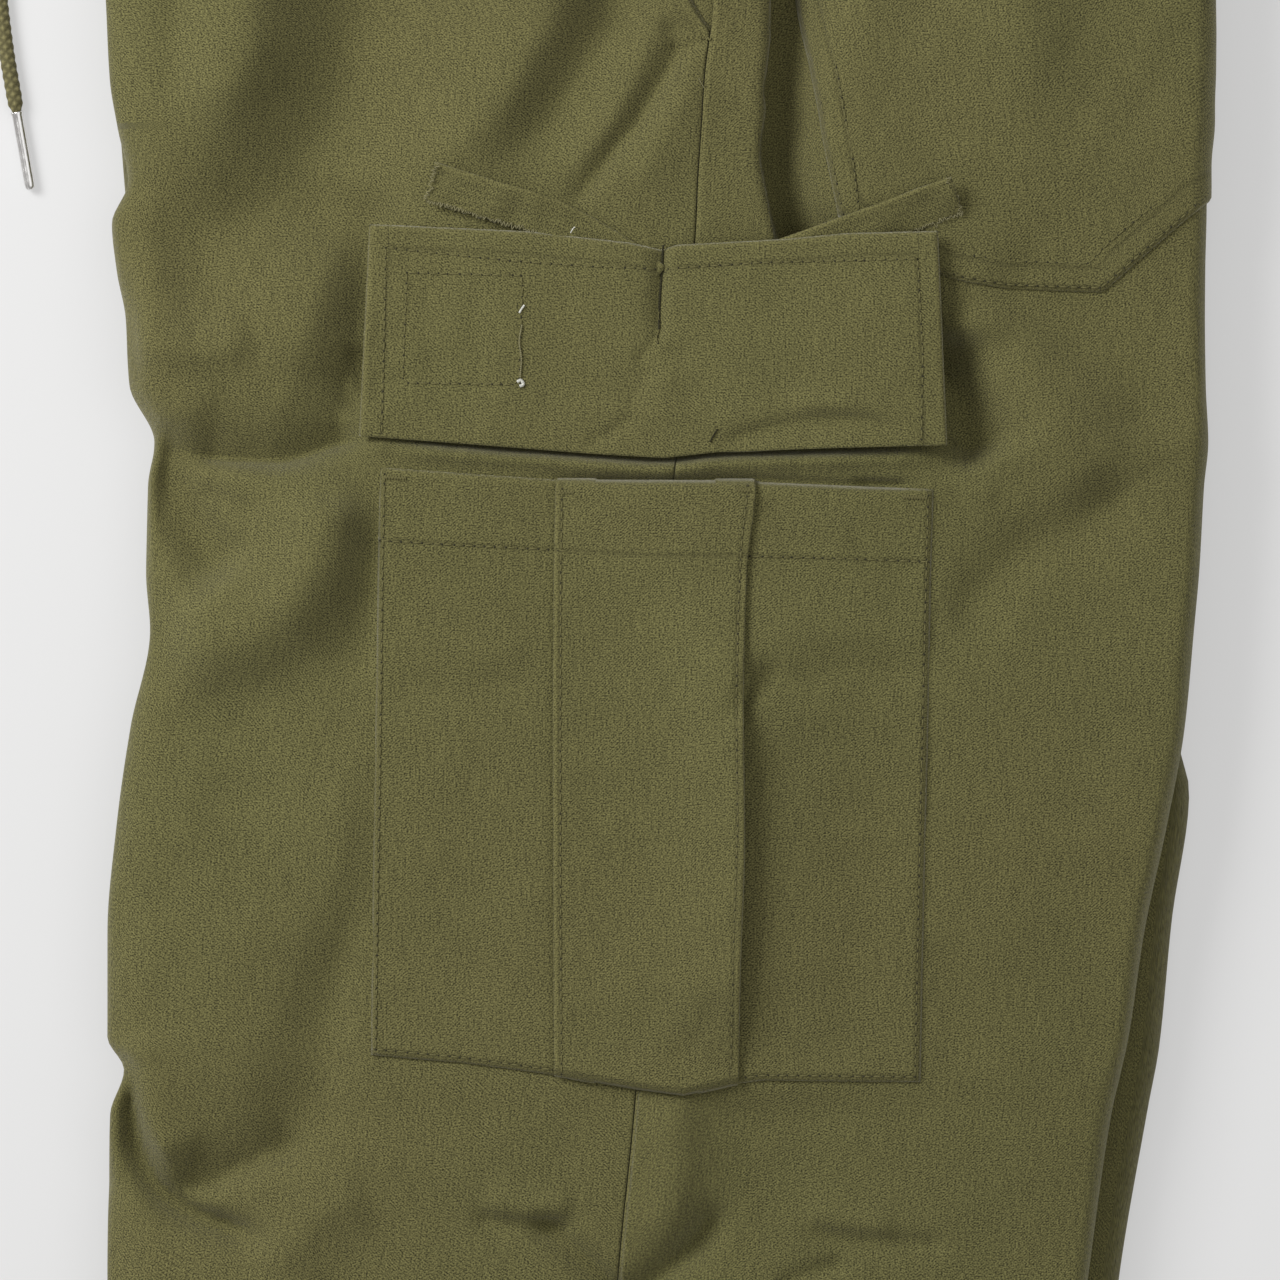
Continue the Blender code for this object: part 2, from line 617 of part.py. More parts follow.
def back_pocket(leg, material):
    """A patch on the back panel that runs on round the leg's edge."""
    grid = leg.moved_out("back", ON_PANEL_GAP + POCKET_CLOTH)
    last = grid.shape[1]
    stop = len(grid) - len(leg.turns) + HALF_TURN
    first = leg.rows.index(int(BACK_POCKET_TOP_Y))
    bottom_x, bottom_y = np.transpose(BACK_POCKET_BOTTOM)
    columns = []
    for column in grid[BACK_POCKET_LINE:stop]:
        over = column[:, 1] - np.interp(column[:, 0], bottom_x, bottom_y)
        inside = [k for k in range(first, last) if over[k] > 0.5]
        k = inside[-1]
        share = over[k] / (over[k] - over[k + 1])
        cut = column[k] + share * (column[k + 1] - column[k])
        columns.append((0, [*column[first : k + 1], cut]))
    return shade(wall(surface("left_back_pocket", columns, material), POCKET_CLOTH))


# ---------------------------------------------------------------- under the right leg


def plate(name, outline, material):
    """A flat layer of cloth between the right leg and the floor: a filled outline."""
    curve = bpy.data.curves.new(name, "CURVE")
    curve.dimensions = "2D"
    curve.fill_mode = "BOTH"
    curve.extrude = POCKET_CLOTH / 2 * METRES
    spline = curve.splines.new("POLY")
    spline.points.add(len(outline) - 1)
    spline.use_cyclic_u = True
    for point, corner in zip(spline.points, outline):
        x, y, _ = in_place((*corner, 0.0))
        point.co = (x, y, 0.0, 1.0)
    obj = bpy.data.objects.new(name, curve)
    obj.location = (0.0, 0.0, (FLOOR_Z + POCKET_CLOTH / 2) * METRES)
    obj.data.materials.append(material)
    into_collection(obj)


def hidden_pieces(material):
    """The right leg's cargo pocket, its closed flap and its back pocket, all pressed flat."""
    (_, pocket_top), (_, pocket_bottom) = POCKET_STEPS
    (_, flap_top), (flap_foot, flap_bottom) = FLAP_STEPS
    rows = (
        # y, height
        (pocket_top, POCKET_CLOTH + GAP),
        (flap_bottom, POCKET_CLOTH + GAP),
        (flap_foot, 0.0),
        (pocket_bottom, 0.0),
    )
    columns = []
    for half in (-RIGHT_POCKET_HALF, RIGHT_POCKET_HALF):
        columns.append((0, [(pocket_axis(y) + half, y, FLOOR_Z + z) for y, z in rows]))
    wall(surface("right_cargo_pocket", columns, material, flip=True), POCKET_CLOTH)

    axis, half = pocket_axis(flap_top), RIGHT_FLAP_HALF - FLAP_CLEAR
    low = flap_bottom + GAP
    flap = ((axis - half, low), (axis + half, low), (axis + half, flap_top), (axis - half, flap_top))
    plate("right_cargo_flap", flap, material)

    (_, top), (_, bottom) = BACK_POCKET_STEPS
    left, right = RIGHT_BACK_POCKET_X
    cut, side = RIGHT_BACK_POCKET_CORNER, left + BACK_POCKET_CLEAR
    outline = (
        (side, bottom + cut), (left + cut, bottom), (right - cut, bottom),
        (right, bottom + cut), (right, top), (side, top),
    )
    plate("right_back_pocket", outline, material)


# ---------------------------------------------------------------- waistband and drawcord


def band_height(y):
    return crown(y) - BAND_BELOW_CROWN


def waistband(material):
    """One strip folded over the elastic and sewn round the waist as a flattened ring."""
    top, bottom = WAIST_Y, WAIST_Y - BAND_HEIGHT + SEAM_GAP
    ring = []
    for y in (top, (top + bottom) / 2, bottom):
        front, back = front_edge_left(y), back_edge_left(y)
        middle, half = (front + back) / 2, (back - front) / 2
        high = band_height(y)
        row = [(middle + s * half, y, high) for s in BAND_STATIONS]
        row += [(back - inward, y, high * share) for inward, share in BAND_TURN]
        row += [(middle + s * half, y, FLOOR_Z) for s in reversed(BAND_STATIONS)]
        row += [(front + inward, y, high * share) for inward, share in reversed(BAND_TURN)]
        ring.append(row)
    columns = [(0, list(points)) for points in zip(*ring)]
    return shade(wall(surface("waistband", columns, material, cyclic=True), BAND_CLOTH))


def smooth_line(route, count):
    """Points at equal steps on a Catmull-Rom curve through a route's own points."""
    p = np.array(route, float)
    p = np.vstack([2 * p[0] - p[1], p, 2 * p[-1] - p[-2]])
    t = np.linspace(0, 1, 24, endpoint=False)[:, None]
    fine = []
    for before, here, there, after in zip(p, p[1:], p[2:], p[3:]):
        bend = 2 * before - 5 * here + 4 * there - after
        turn = 3 * here - before - 3 * there + after
        fine.append((2 * here + (there - before) * t + bend * t**2 + turn * t**3) / 2)
    fine = np.vstack([*fine, p[-2]])
    fine[:, 2] = np.maximum(fine[:, 2], CORD_LOWEST)
    along = np.concatenate([[0], np.cumsum(np.linalg.norm(np.diff(fine, axis=0), axis=1))])
    at = np.linspace(0, along[-1], count)
    return np.stack([np.interp(at, along, fine[:, k]) for k in range(3)], axis=1)


def cord(name, route, material):
    """A round tube along its route; gives back the points that it follows."""
    line = smooth_line(route, CORD_POINTS)
    curve = bpy.data.curves.new(name, "CURVE")
    curve.dimensions = "3D"
    curve.bevel_depth = CORD_RADIUS * METRES
    curve.bevel_resolution = CORD_SIDES
    curve.use_fill_caps = True
    spline = curve.splines.new("POLY")
    spline.points.add(len(line) - 1)
    for point, place in zip(spline.points, line):
        point.co = (*(place * METRES), 1.0)
    obj = bpy.data.objects.new(name, curve)
    obj.data.materials.append(material)
    into_collection(obj)
    return line


def aglet(name, line, material):
    """A crimped metal tip that runs on from the cord's end."""
    direction = line[-1] - line[-2]
    direction[2] = 0.0
    direction /= np.linalg.norm(direction)
    middle = line[-1] + direction * (AGLET_LENGTH / 2 + GAP)
    middle[2] = AGLET_RADIUS + AGLET_LIFT
    bpy.ops.mesh.primitive_cylinder_add(
        vertices=16, radius=AGLET_RADIUS * METRES, depth=AGLET_LENGTH * METRES
    )
    obj = bpy.context.object
    obj.name = name
    obj.location = middle * METRES
    heading = math.atan2(direction[1], direction[0])
    obj.rotation_euler = (math.pi / 2, 0.0, heading + math.pi / 2)
    obj.data.materials.append(material)
    into_collection(obj)
    shade(obj)


def eyelet(name, centre, tilt, material):
    """A metal ring that lies on the waistband; tilt turns it about Y from lying level."""
    bpy.ops.mesh.primitive_torus_add(
        major_radius=EYELET_RADIUS * METRES,
        minor_radius=EYELET_WIRE * METRES,
        major_segments=18,
        minor_segments=6,
    )
    obj = bpy.context.object
    obj.name = name
    obj.location = [v * METRES for v in centre]
    obj.rotation_euler = (0.0, tilt, 0.0)
    obj.data.materials.append(material)
    into_collection(obj)
    shade(obj)


def eyelets(material):
    """One on the band's upper side and one under its front turn, each GAP off the cloth."""
    off = EYELET_WIRE + SEAM_GAP
    left_x, high = LEFT_CORD[0][0], band_height(EYELET_Y)
    drop = waist_drop(left_x, EYELET_Y)
    eyelet("left_eyelet", (left_x, EYELET_Y - drop, high + off), 0.0, material)
    # The other lies on the middle of the turn's lower facet, square to it.
    front = front_edge_left(EYELET_Y)
    _, (near, upper), (far, lower) = BAND_TURN
    slope = math.atan2((upper - lower) * high, far - near)
    x = front + (near + far) / 2 - off * math.sin(slope)
    z = (upper + lower) / 2 * high - off * math.cos(slope)
    drop = waist_drop(front, EYELET_Y)
    eyelet("right_eyelet", (x, EYELET_Y - drop, z), slope, material)


# ---------------------------------------------------------------- the garment


def new_material(name, colour, roughness, metallic=0.0):
    material = bpy.data.materials.new(name)
    material.use_nodes = True
    bsdf = material.node_tree.nodes["Principled BSDF"]
    bsdf.inputs["Base Color"].default_value = (*colour, 1.0)
    bsdf.inputs["Roughness"].default_value = roughness
    bsdf.inputs["Metallic"].default_value = metallic
    material.diffuse_color = (*colour, 1.0)
    return material


def main():
    for obj in list(bpy.data.objects):
        bpy.data.objects.remove(obj)
    collection = bpy.data.collections.new("cargo_trousers")
    bpy.context.scene.collection.children.link(collection)

    cloth = new_material("olive_twill", CLOTH_COLOUR, 0.85)
    braid = new_material("olive_braid", CORD_COLOUR, 0.8)
    metal = new_material("tip_metal", METAL_COLOUR, 0.25, metallic=1.0)

    left = Leg(
        "left", LEFT_ROWS, LEFT_LINES, (front_edge_left, back_edge_left), left_top,
        LEFT_INNER_Z, SHOULDER, LEFT_SHOULDER_STEPS, LEFT_TURNS,
    )
    right = Leg(
        "right", RIGHT_ROWS, RIGHT_LINES, (front_edge_right, back_edge_right), right_bottom,
        RIGHT_INNER_Z, RIGHT_SHOULDER, RIGHT_SHOULDER_STEPS, RIGHT_TURNS,
    )
    for leg in (left, right):
        leg.panel("front", cloth)
        leg.panel("back", cloth)
        leg.pocket_facing(cloth)

    cargo_pocket(left, cloth)
    cargo_flap(left, cloth)
    flap_tab("left_flap_tab_front", left, FRONT_TAB[::-1], cloth)
    flap_tab("left_flap_tab_back", left, BACK_TAB, cloth)
    back_pocket(left, cloth)
    hidden_pieces(cloth)

    waistband(cloth)
    eyelets(metal)
    for side, route in (("left", LEFT_CORD), ("right", RIGHT_CORD)):
        aglet(f"{side}_aglet", cord(f"{side}_drawcord", route, braid), metal)


main()
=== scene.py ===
"""Cargo trousers laid flat on their side: the cloth, seams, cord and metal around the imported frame.

All shape functions work in millimetres, x across the legs, y up towards the waist and z up from
the table, and are scaled to metres when a mesh is made.
"""

import math

import bpy
import numpy as np
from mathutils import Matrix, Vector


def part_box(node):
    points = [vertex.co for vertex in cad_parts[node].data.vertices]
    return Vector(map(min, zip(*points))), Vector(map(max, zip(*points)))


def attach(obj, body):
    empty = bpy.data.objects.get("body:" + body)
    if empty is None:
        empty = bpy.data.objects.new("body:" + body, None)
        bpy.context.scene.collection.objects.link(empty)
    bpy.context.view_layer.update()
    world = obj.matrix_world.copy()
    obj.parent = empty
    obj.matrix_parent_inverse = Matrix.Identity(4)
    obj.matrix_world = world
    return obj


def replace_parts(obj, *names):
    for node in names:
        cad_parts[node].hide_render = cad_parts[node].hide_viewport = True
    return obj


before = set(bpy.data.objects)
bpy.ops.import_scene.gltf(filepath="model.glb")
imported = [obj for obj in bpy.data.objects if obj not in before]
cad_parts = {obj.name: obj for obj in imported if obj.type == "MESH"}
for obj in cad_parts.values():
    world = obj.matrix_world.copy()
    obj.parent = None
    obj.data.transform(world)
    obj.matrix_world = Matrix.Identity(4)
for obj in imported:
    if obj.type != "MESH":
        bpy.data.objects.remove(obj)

bl_info = {
    "name": "Cargo Trousers",
    "version": (1, 0, 0),
    "blender": (4, 5, 0),
    "location": "3D View > Sidebar > Trousers",
    "description": "Builds the cloth, seams and trimmings of a pair of cargo trousers laid flat",
    "category": "Object",
}

MM = 0.001

# ---------------------------------------------------------------- sizes shared with the frame

WAIST_Y = 510.0
HEM_Y = -510.0
BAND_HEIGHT = 38.0
PANEL_TOP_Y = 472.0
FRONT_DROP = 16.0  # the waist is this much lower at the front than at the back
DROP_FROM_Y = 330.0
LEFT_INNER_Z = 11.1  # lower face of the upper leg's inside
RIGHT_INNER_Z = 10.4  # upper face of the lower leg's inside
LEFT_SHOULDERS = {"front": 16.0, "back": 6.0}
RIGHT_SHOULDERS = {"front": 9.0, "back": 9.0}
TUCK = 6.0  # how far the cloth comes in under the leg's edge
EDGE_SHARE = 0.45  # height of the outline, between the leg's inside and its top
CROWN_FALL = 2.5  # how much lower the upper leg is at its outline than along its middle
EDGE_FADE = 6.0  # the folds fade out this far from the outline
FRONT_RISE_Y = 298.0
BACK_RISE_Y = 340.0
CROTCH_Y = 196.0
RISE_POWER = 2.3
WALL_GAP = 0.25  # from each half of the wall between the legs to their middle line
WALL_FADE = 0.15  # share of the wall over which its folds begin
LAYER = 1.3  # one pressed layer and its clearance
FAR_FROM_STITCH = 20.0  # the distance given where no row of stitches is near

# Unevenness of the cloth: height, seed and length of each ripple
LEG_UNEVEN = ((0.55, 11, 62.0), (0.22, 12, 24.0))
POCKET_UNEVEN = ((0.25, 21, 30.0),)
FLAP_UNEVEN = ((0.3, 31, 36.0), (0.1, 32, 14.0))
PATCH_UNEVEN = ((0.2, 51, 22.0),)

LEFT_OUTLINE = (
    # y, front edge, back edge, side seam, height of the top
    (510, -166, 176, 20.0, 24.0), (470, -171, 180, 20.0, 27.0), (420, -181, 184, 19.5, 29.5),
    (380, -187.4, 186, 18.5, 30.5), (340, -185.3, 184.5, 17.7, 30.5),
    (314, -184.0, 184.3, 14.8, 30.5), (298, -181.4, 183.8, 13.8, 30.5),
    (280, -178.0, 183.0, 12.6, 30.5), (266, -183.4, 182.8, 12.0, 30.5),
    (250, -181.7, 182.4, 11.0, 30.5), (234, -178.6, 182.3, 9.8, 30.5),
    (212, -177.4, 182.6, 8.0, 30.5), (193, -169.2, 183.4, 6.1, 30.5),
    (178, -171.4, 182.0, 4.3, 30.5), (150, -172.0, 180.4, 2.6, 30.5),
    (130, -170.4, 178.6, 1.4, 30.5), (98, -177.0, 175.6, -0.6, 30.5),
    (64, -181.8, 169.4, -2.7, 30.5), (29, -184.8, 162.0, -4.8, 30.0),
    (-6, -184.8, 156.8, -6.9, 29.5), (-17, -179.2, 154.4, -7.5, 29.5),
    (-32, -183.8, 151.0, -8.7, 29.0), (-86, -184.8, 143.3, -14.0, 28.0),
    (-200, -181, 128, -20.5, 27.0), (-300, -177, 114, -26.2, 26.5),
    (-400, -171, 101, -31.9, 26.0), (-510, -166, 89, -38.0, 25.0),
)
RIGHT_OUTLINE = (
    # y, front edge, back edge
    (510, -166, 176), (470, -171, 180), (420, -181, 184), (380, -186, 186), (340, -184, 183),
    (250, -177, 179), (180, -167, 178), (130, -166, 175), (94, -172, 174), (76, -176, 177.7),
    (33, -180, 171.9), (-10, -178, 167.6), (-30, -177, 163.9), (-86, -175, 154.3),
    (-200, -166, 141), (-300, -157, 130), (-400, -149, 121), (-510, -141, 114),
)

FOLD_DEPTH = 2.05
# Folds of the upper leg: height, reach to each side, sharpness of the crest, line.  The second
# reach is the side with the larger x of a line that runs down, and above one that runs to +x.
FOLDS = (
    # hip, front
    (3.6, 20, 14, 1.9, ((-120, 400), (-134, 362), (-137, 340), (-138, 323), (-145, 310),
     (-157, 297))),
    (-1.1, 6, 6, 1.8, ((-158, 370), (-161, 340), (-162, 322), (-160, 306))),
    (-7.4, 23, 32, 2.0, ((-90, 400), (-97, 345), (-100, 320), (-105, 306), (-112, 293),
     (-124, 276), (-142, 260), (-166, 253), (-188, 248))),
    (4.0, 44, 20, 2.0, ((-186, 246), (-150, 247), (-128, 247), (-108, 242), (-98, 240))),
    (2.0, 6, 13, 1.8, ((-184, 228), (-172, 225), (-158, 223), (-144, 224), (-134, 226))),
    (2.4, 22, 10, 1.8, ((-24, 400), (-35, 340), (-44, 323), (-54, 306), (-67, 293), (-86, 282))),
    (-3.9, 12, 13, 2.0, ((-5, 400), (-15, 340), (-22, 326), (-30, 311), (-39, 297), (-56, 282))),
    (1.3, 8, 5, 1.6, ((-1, 345), (-4, 326), (-11, 310), (-19, 296), (-31, 281))),
    (-2.6, 6.0, 3.0, 1.4, ((12, 325.5), (7, 323.5), (3, 317), (-3.3, 306.7), (-8.3, 298.3),
     (-14, 292), (-22, 281), (-32, 268))),
    (-1.5, 2.6, 1.6, 1.4, ((17.5, 328.5), (12, 326), (7, 324), (1, 324))),
    (-1.2, 2.4, 2.2, 1.5, ((15, 331), (11, 330.4), (6, 330.2), (0, 331))),
    (0.7, 2.2, 2.4, 1.5, ((16, 329.6), (11, 327.8), (6, 327.0))),
    (1.5, 5, 12, 1.7, ((13, 320), (6, 305), (0, 292), (-10, 276))),
    # gully behind the side seam: the strip in front of it hangs over a deep trough
    (-8.6, 3.0, 17, 2.6, ((37.5, 400), (37.5, 345), (37.2, 325), (35.6, 311), (36.0, 303),
     (34.6, 291), (35.8, 281), (38.6, 268), (45, 254), (64, 234), (98, 206))),
    # seat, right of the flap
    (2.8, 12, 24, 2.0, ((97, 238), (107, 224), (118, 211), (130, 199), (140, 187), (150, 172))),
    (-2.4, 16, 20, 2.0, ((104, 243), (134, 234), (156, 214), (168, 188))),
    (1.0, 5, 5, 1.7, ((95, 194), (98, 183), (104, 177), (114, 175))),
    (-2.3, 10, 12, 1.9, ((164, 182), (152, 172), (140, 164), (124, 158), (113, 149), (104, 138),
     (98, 124))),
    # upper notch of the front edge: the bulge above lies over a sharp valley
    (-5.4, 13, 3.6, 1.35, ((-94, 196), (-98, 194), (-102, 193.3), (-109.7, 191.7),
     (-116.3, 189.3), (-125.7, 186.7), (-132.7, 186.7), (-144, 187.3), (-152, 188.3), (-161, 191))),
    (-6.0, 12, 12, 1.9, ((-172, 198), (-168.5, 191), (-165, 183), (-158, 168), (-151, 155),
     (-143, 144))),
    (-0.9, 3.4, 5, 1.6, ((-154, 178), (-143.3, 172.7), (-133, 166))),
    (4.3, 20, 18, 1.9, ((-109, 186), (-112, 173), (-113, 160), (-117, 146), (-124, 136.5),
     (-134, 130), (-150, 125.5), (-168, 124))),
    (1.7, 12, 11, 2.0, ((-111, 176), (-114, 162), (-118, 149), (-124, 140), (-132, 133))),
    (-1.3, 10, 17, 1.9, ((-97, 154), (-104, 128), (-122, 115), (-146, 108), (-170, 106))),
    # front of the knee
    (1.5, 27, 14, 1.9, ((-86, 92), (-94, 76), (-108, 54), (-121, 30), (-129, 6), (-141, -20),
     (-152, -36))),
    (-2.1, 14, 13, 1.9, ((-84, 36), (-93, 29), (-105, 17), (-112, 3), (-113, -12), (-117, -33),
     (-128, -50))),
    (0.8, 8, 10, 1.7, ((-150, 96), (-158, 72), (-150, 48), (-140, 40))),
    # lower notch of the front edge: a fold whose edge stands up, and the deep valley beside it
    (3.0, 3.6, 12, 1.7, ((-182, -6), (-176.7, -19), (-171.7, -29), (-166.7, -39), (-161, -50))),
    (-5.4, 5.0, 4.2, 1.6, ((-181, -8), (-178.7, -20), (-177.3, -30), (-175.3, -41.7),
     (-169.7, -54), (-159, -63.3), (-141.7, -70.3), (-128, -75))),
    (-3.4, 4.5, 9, 1.7, ((-164, -51), (-160, -54), (-155, -55), (-148.3, -53.3),
     (-136.7, -48.3), (-116, -40))),
    (1.8, 10, 12, 1.8, ((-134, -86), (-122, -74), (-112, -64), (-96, -56))),
    (1.4, 12, 14, 1.8, ((-182, -84), (-160, -86), (-138, -94), (-112, -104))),
    # below the cargo pocket
    (-1.7, 4, 2.6, 1.5, ((-64, -65), (-46, -68.5), (-26, -67.5))),
    (1.2, 4, 5, 1.6, ((-60, -60), (-46, -63), (-28, -62))),
    (-3.0, 4, 4, 1.6, ((-44, -66), (-34, -73), (-26, -80), (-18, -88), (-12, -98))),
    (-3.6, 5, 6, 1.7, ((-20, -100), (-12, -94), (-2, -87), (8, -79), (16, -70), (22, -60))),
    (1.9, 9, 8, 2.2, ((4, -16), (5, -40), (4, -56), (-2, -78))),
    (-1.8, 20, 34, 2.0, ((34, -14), (34, -44), (32, -62), (26, -90))),
    (-1.6, 4, 2.6, 1.5, ((46, -68), (60, -73), (78, -74), (98, -75.5))),
    (1.1, 4, 6, 1.6, ((48, -63), (62, -68), (80, -69))),
    (-1.7, 4, 3, 1.5, ((38, -89), (50, -85), (64, -80))),
    (-2.4, 11, 12, 2.0, ((-122, -100), (-95, -106), (-80, -124))),
    # calf and hem
    (3.0, 22, 14, 2.0, ((66, -118), (20, -150), (-30, -170), (-96, -178))),
    (-4.4, 14, 18, 1.9, ((84, -146), (30, -182), (-25, -203), (-105, -212))),
    (2.2, 12, 9, 1.8, ((92, -212), (60, -232), (20, -240), (-20, -236))),
    (-2.6, 8, 11, 1.8, ((96, -230), (62, -250), (18, -258), (-34, -252))),
    (2.6, 20, 16, 1.9, ((-146, -300), (-80, -318), (-20, -352))),
    (-3.5, 14, 18, 1.9, ((-156, -262), (-95, -284), (-30, -300), (50, -346))),
    (-2.6, 10, 14, 1.8, ((-120, -382), (-70, -404), (0, -418), (44, -404))),
    (1.8, 12, 12, 1.8, ((-130, -440), (-66, -452), (-6, -446))),
    # hip, above the pocket's opening, and the seat's top
    (2.6, 12, 12, 1.9, ((-150, 455), (-142, 425), (-152, 396))),
    (-2.6, 10, 12, 1.9, ((-120, 462), (-116, 430), (-124, 404))),
    (-3.2, 11, 13, 1.9, ((62, 462), (68, 420), (84, 372), (96, 330))),
    (2.2, 12, 14, 1.9, ((88, 458), (96, 414), (116, 360), (130, 300))),
    (-2.4, 10, 12, 1.9, ((130, 462), (134, 420), (148, 380))),
)

# Folds beside the flap and the roll of cloth between its seam and the pocket: true heights
HELD_FOLDS = (
    (-7.4, 22, 9, 1.9, ((-96, 282), (-98, 262), (-98, 240), (-99, 215), (-101, 198))),
    (-3.4, 8, 5, 1.8, ((-98, 226), (-99, 214), (-100, 200))),
    (-12.5, 8, 17, 1.9, ((95, 232), (95.5, 222), (96.5, 212), (99.5, 203), (102.5, 195),
     (108, 183))),
    (-2.0, 7, 3, 1.8, ((-95.5, 170), (-96.5, 150), (-97, 130), (-98, 110))),
    (-2.8, 1.4, 1.4, 1.6, ((64, 179.6), (73, 179.0), (84, 178.4))),
    (3.0, 3.0, 2.6, 1.8, ((-106, 191.2), (-64.7, 188.0), (-22.7, 184.8), (1.3, 183.6),
     (19.7, 185.2), (61.7, 186.6), (102, 187.4))),
    (-5.0, 1.6, 5.0, 1.6, ((-104, 195.6), (-64.7, 192.0), (-22.7, 188.8), (1.3, 187.3),
     (19.7, 189.2), (61.7, 190.7), (100, 191.5))),
    (-2.4, 2.0, 1.6, 1.6, ((-40, 180.4), (-4, 179.8), (28, 180.2), (60, 178.6), (90, 177.6))),
)

# Folds of the lower leg's inside, where it shows behind the upper one
LOWER_FOLDS = (
    (1.4, 9, 12, 1.8, ((168, 70), (166, 30), (160, -20))),
    (-1.6, 8, 9, 1.8, ((152, -12), (158, -34), (164, -44))),
    (-1.2, 7, 9, 1.8, ((138, -96), (146, -112), (152, -122))),
)

# The strip behind the side seam hangs over the gully: how far, how wide, and between which y
BRIM_HANG = 3.0
BRIM_INSET = 1.4
BRIM_WIDTH = 1.9
BRIM_FADES = (244, 262, 372, 400)
# Its brim: y, x
STRIP_BRIM = (
    (244, 38), (260.4, 33.6), (266.5, 32.5), (273.7, 31.4), (280.3, 30.0), (287, 28.7),
     (292.5, 28.7),
    (298, 29.7), (304, 30.8), (310.2, 29.7), (316.2, 30.9), (323.4, 31.7), (327.8, 32.3),
     (400, 31.8),
)

# Cargo pocket
POCKET_FLAT_TOP_Y = 198.0
POCKET_FLAT_BOTTOM_Y = -25.0
POCKET_HALF = 92.3
FLAT_SIDES = (-3, 13)  # where the held cloth ends beside the pocket, from its edge
FLAT_FADES = (-10, 6, 22)  # where it begins below the pocket, and how soon it ends above
AXIS_TOP_X = -1.7
AXIS_TOP_Y = 178.0
AXIS_LEAN = 0.0163
POCKET_LINES = (
    # y, pocket's front edge, pleat's front edge, pleat's back edge, pocket's back edge
    (188, -93.4, -34.6, 31.9, 91.3), (180, -93.5, -34.8, 31.7, 91.2),
     (155, -94.0, -35.3, 28.8, 90.4),
    (110, -94.7, -35.6, 27.7, 89.5), (67, -95.4, -35.5, 28.1, 88.5), (25, -96.0, -35.4, 26.7, 87.6),
    (-28, -96.5, -35.1, 25.8, 86.6),
)
POCKET_TOP = ((-96, 184.4), (-60, 181.8), (-36, 180.2), (31, 180.0), (34, 179.3), (92, 176.9))
POCKET_BOTTOM = (
    (-98, -11.6), (-65, -14.4), (-35, -18.4), (-8, -23.2), (8, -25.2), (25, -21.4), (34, -20.2),
    (88, -20.8),
)
POCKET_HEM = ((-93.4, 159.8), (-36.6, 156.8), (-5.6, 154.8), (28, 154.6), (89.8, 152.7))
PLEAT_UNDER = 13.0
LOW_LAYER = 1.6  # the pocket's outer face over the panel
BACK_LAYER = 2.9
BOX_LAYER = 4.0
BOX_DOME = 0.7
POCKET_STITCH = 1.7  # from the pocket's edge to its row of stitches, and on the box of its pleat
PLEAT_STITCH = 2.3
POCKET_MIDDLE_Y = 60
POCKET_GUESS_Y = 181.0
POCKET_GUESS_LENGTH = 200
POCKET_THICKNESS = 0.0006
POCKET_FOLDS = (
    # small creases across the patch's columns, and pulls from its hem
    (1.2, 5, 6, 1.7, ((28, 130), (46, 127), (66, 130), (92, 126))),
    (-1.4, 5, 6, 1.7, ((24, 117), (44, 113), (66, 117), (92, 112))),
    (0.8, 6, 5, 1.7, ((36, 98), (56, 101), (80, 94))),
    (-0.9, 6, 6, 1.7, ((-92, 113), (-70, 110), (-48, 113), (-37, 109))),
    (0.8, 7, 7, 1.7, ((-90, 126), (-66, 123), (-40, 126))),
    (-0.8, 12, 14, 1.9, ((-20, 150), (-24, 96), (-18, 40), (-24, -10))),
    (0.9, 12, 14, 1.9, ((10, 148), (14, 90), (8, 30), (12, -16))),
    (-0.9, 3, 4, 1.7, ((34, 174), (44, 161), (60, 156))),
    (-0.8, 3, 3, 1.7, ((62, 162), (72, 152), (86, 148))),
    (-2.4, 4, 5, 1.7, ((22, 98), (27, 106), (33, 113), (42, 119))),
    (5.4, 18, 30, 2.0, ((26.4, 148), (25.6, 108), (25.8, 66), (24.4, 24), (23.8, -16))),
    (-0.6, 12, 12, 1.9, ((68, 84), (66, 40), (68, -6))),
    (-0.7, 12, 14, 1.9, ((-66, 92), (-62, 44), (-68, 0))),
    (-1.1, 4, 4, 1.6, ((-30, 4), (-18, -8), (-6, -14))),
    (-1.0, 4, 5, 1.6, ((20, 10), (12, -6), (2, -14))),
)

# How far the box stands up at its back edge, how wide that lift is, and between which y
PLEAT_LIFT = 6.5
PLEAT_LIFT_WIDTH = 13.0
PLEAT_OPEN = (-18, 24, 88, 132)

# Cargo flap, turned up so that its underside shows
FLAP_SEAM = (
    (-100.3, 194.6), (-64.7, 192), (-22.7, 188.7), (1.3, 187.3), (19.7, 189.3), (61.7, 190.7),
    (95.6, 191.5),
)
FLAP_EDGE = (
    (-96.8, 265.2), (-44, 262.8), (-10, 259.0), (0.7, 256.7), (5.7, 258.3), (42, 260.2),
    (62, 262.1), (92.5, 262.8),
)
FLAP_BASE_Z = 32.9
FLAP_EDGE_RISE = 1.9
FLAP_THICKNESS = 0.0014
FLAP_EDGE_ROLL = 1.7
FLAP_SEAM_DIP = 0.7
FLAP_SEAM_CURVE = 14.0  # how fast the dip at the seam goes, over the flap's length
FLAP_BORDER = 6.4  # outside its rows of stitches
FLAP_STITCH_SIDE = 7.0
FLAP_STITCH_TOP = 7.6
FLAP_SLANT = 0.042  # rise for each millimetre behind the middle
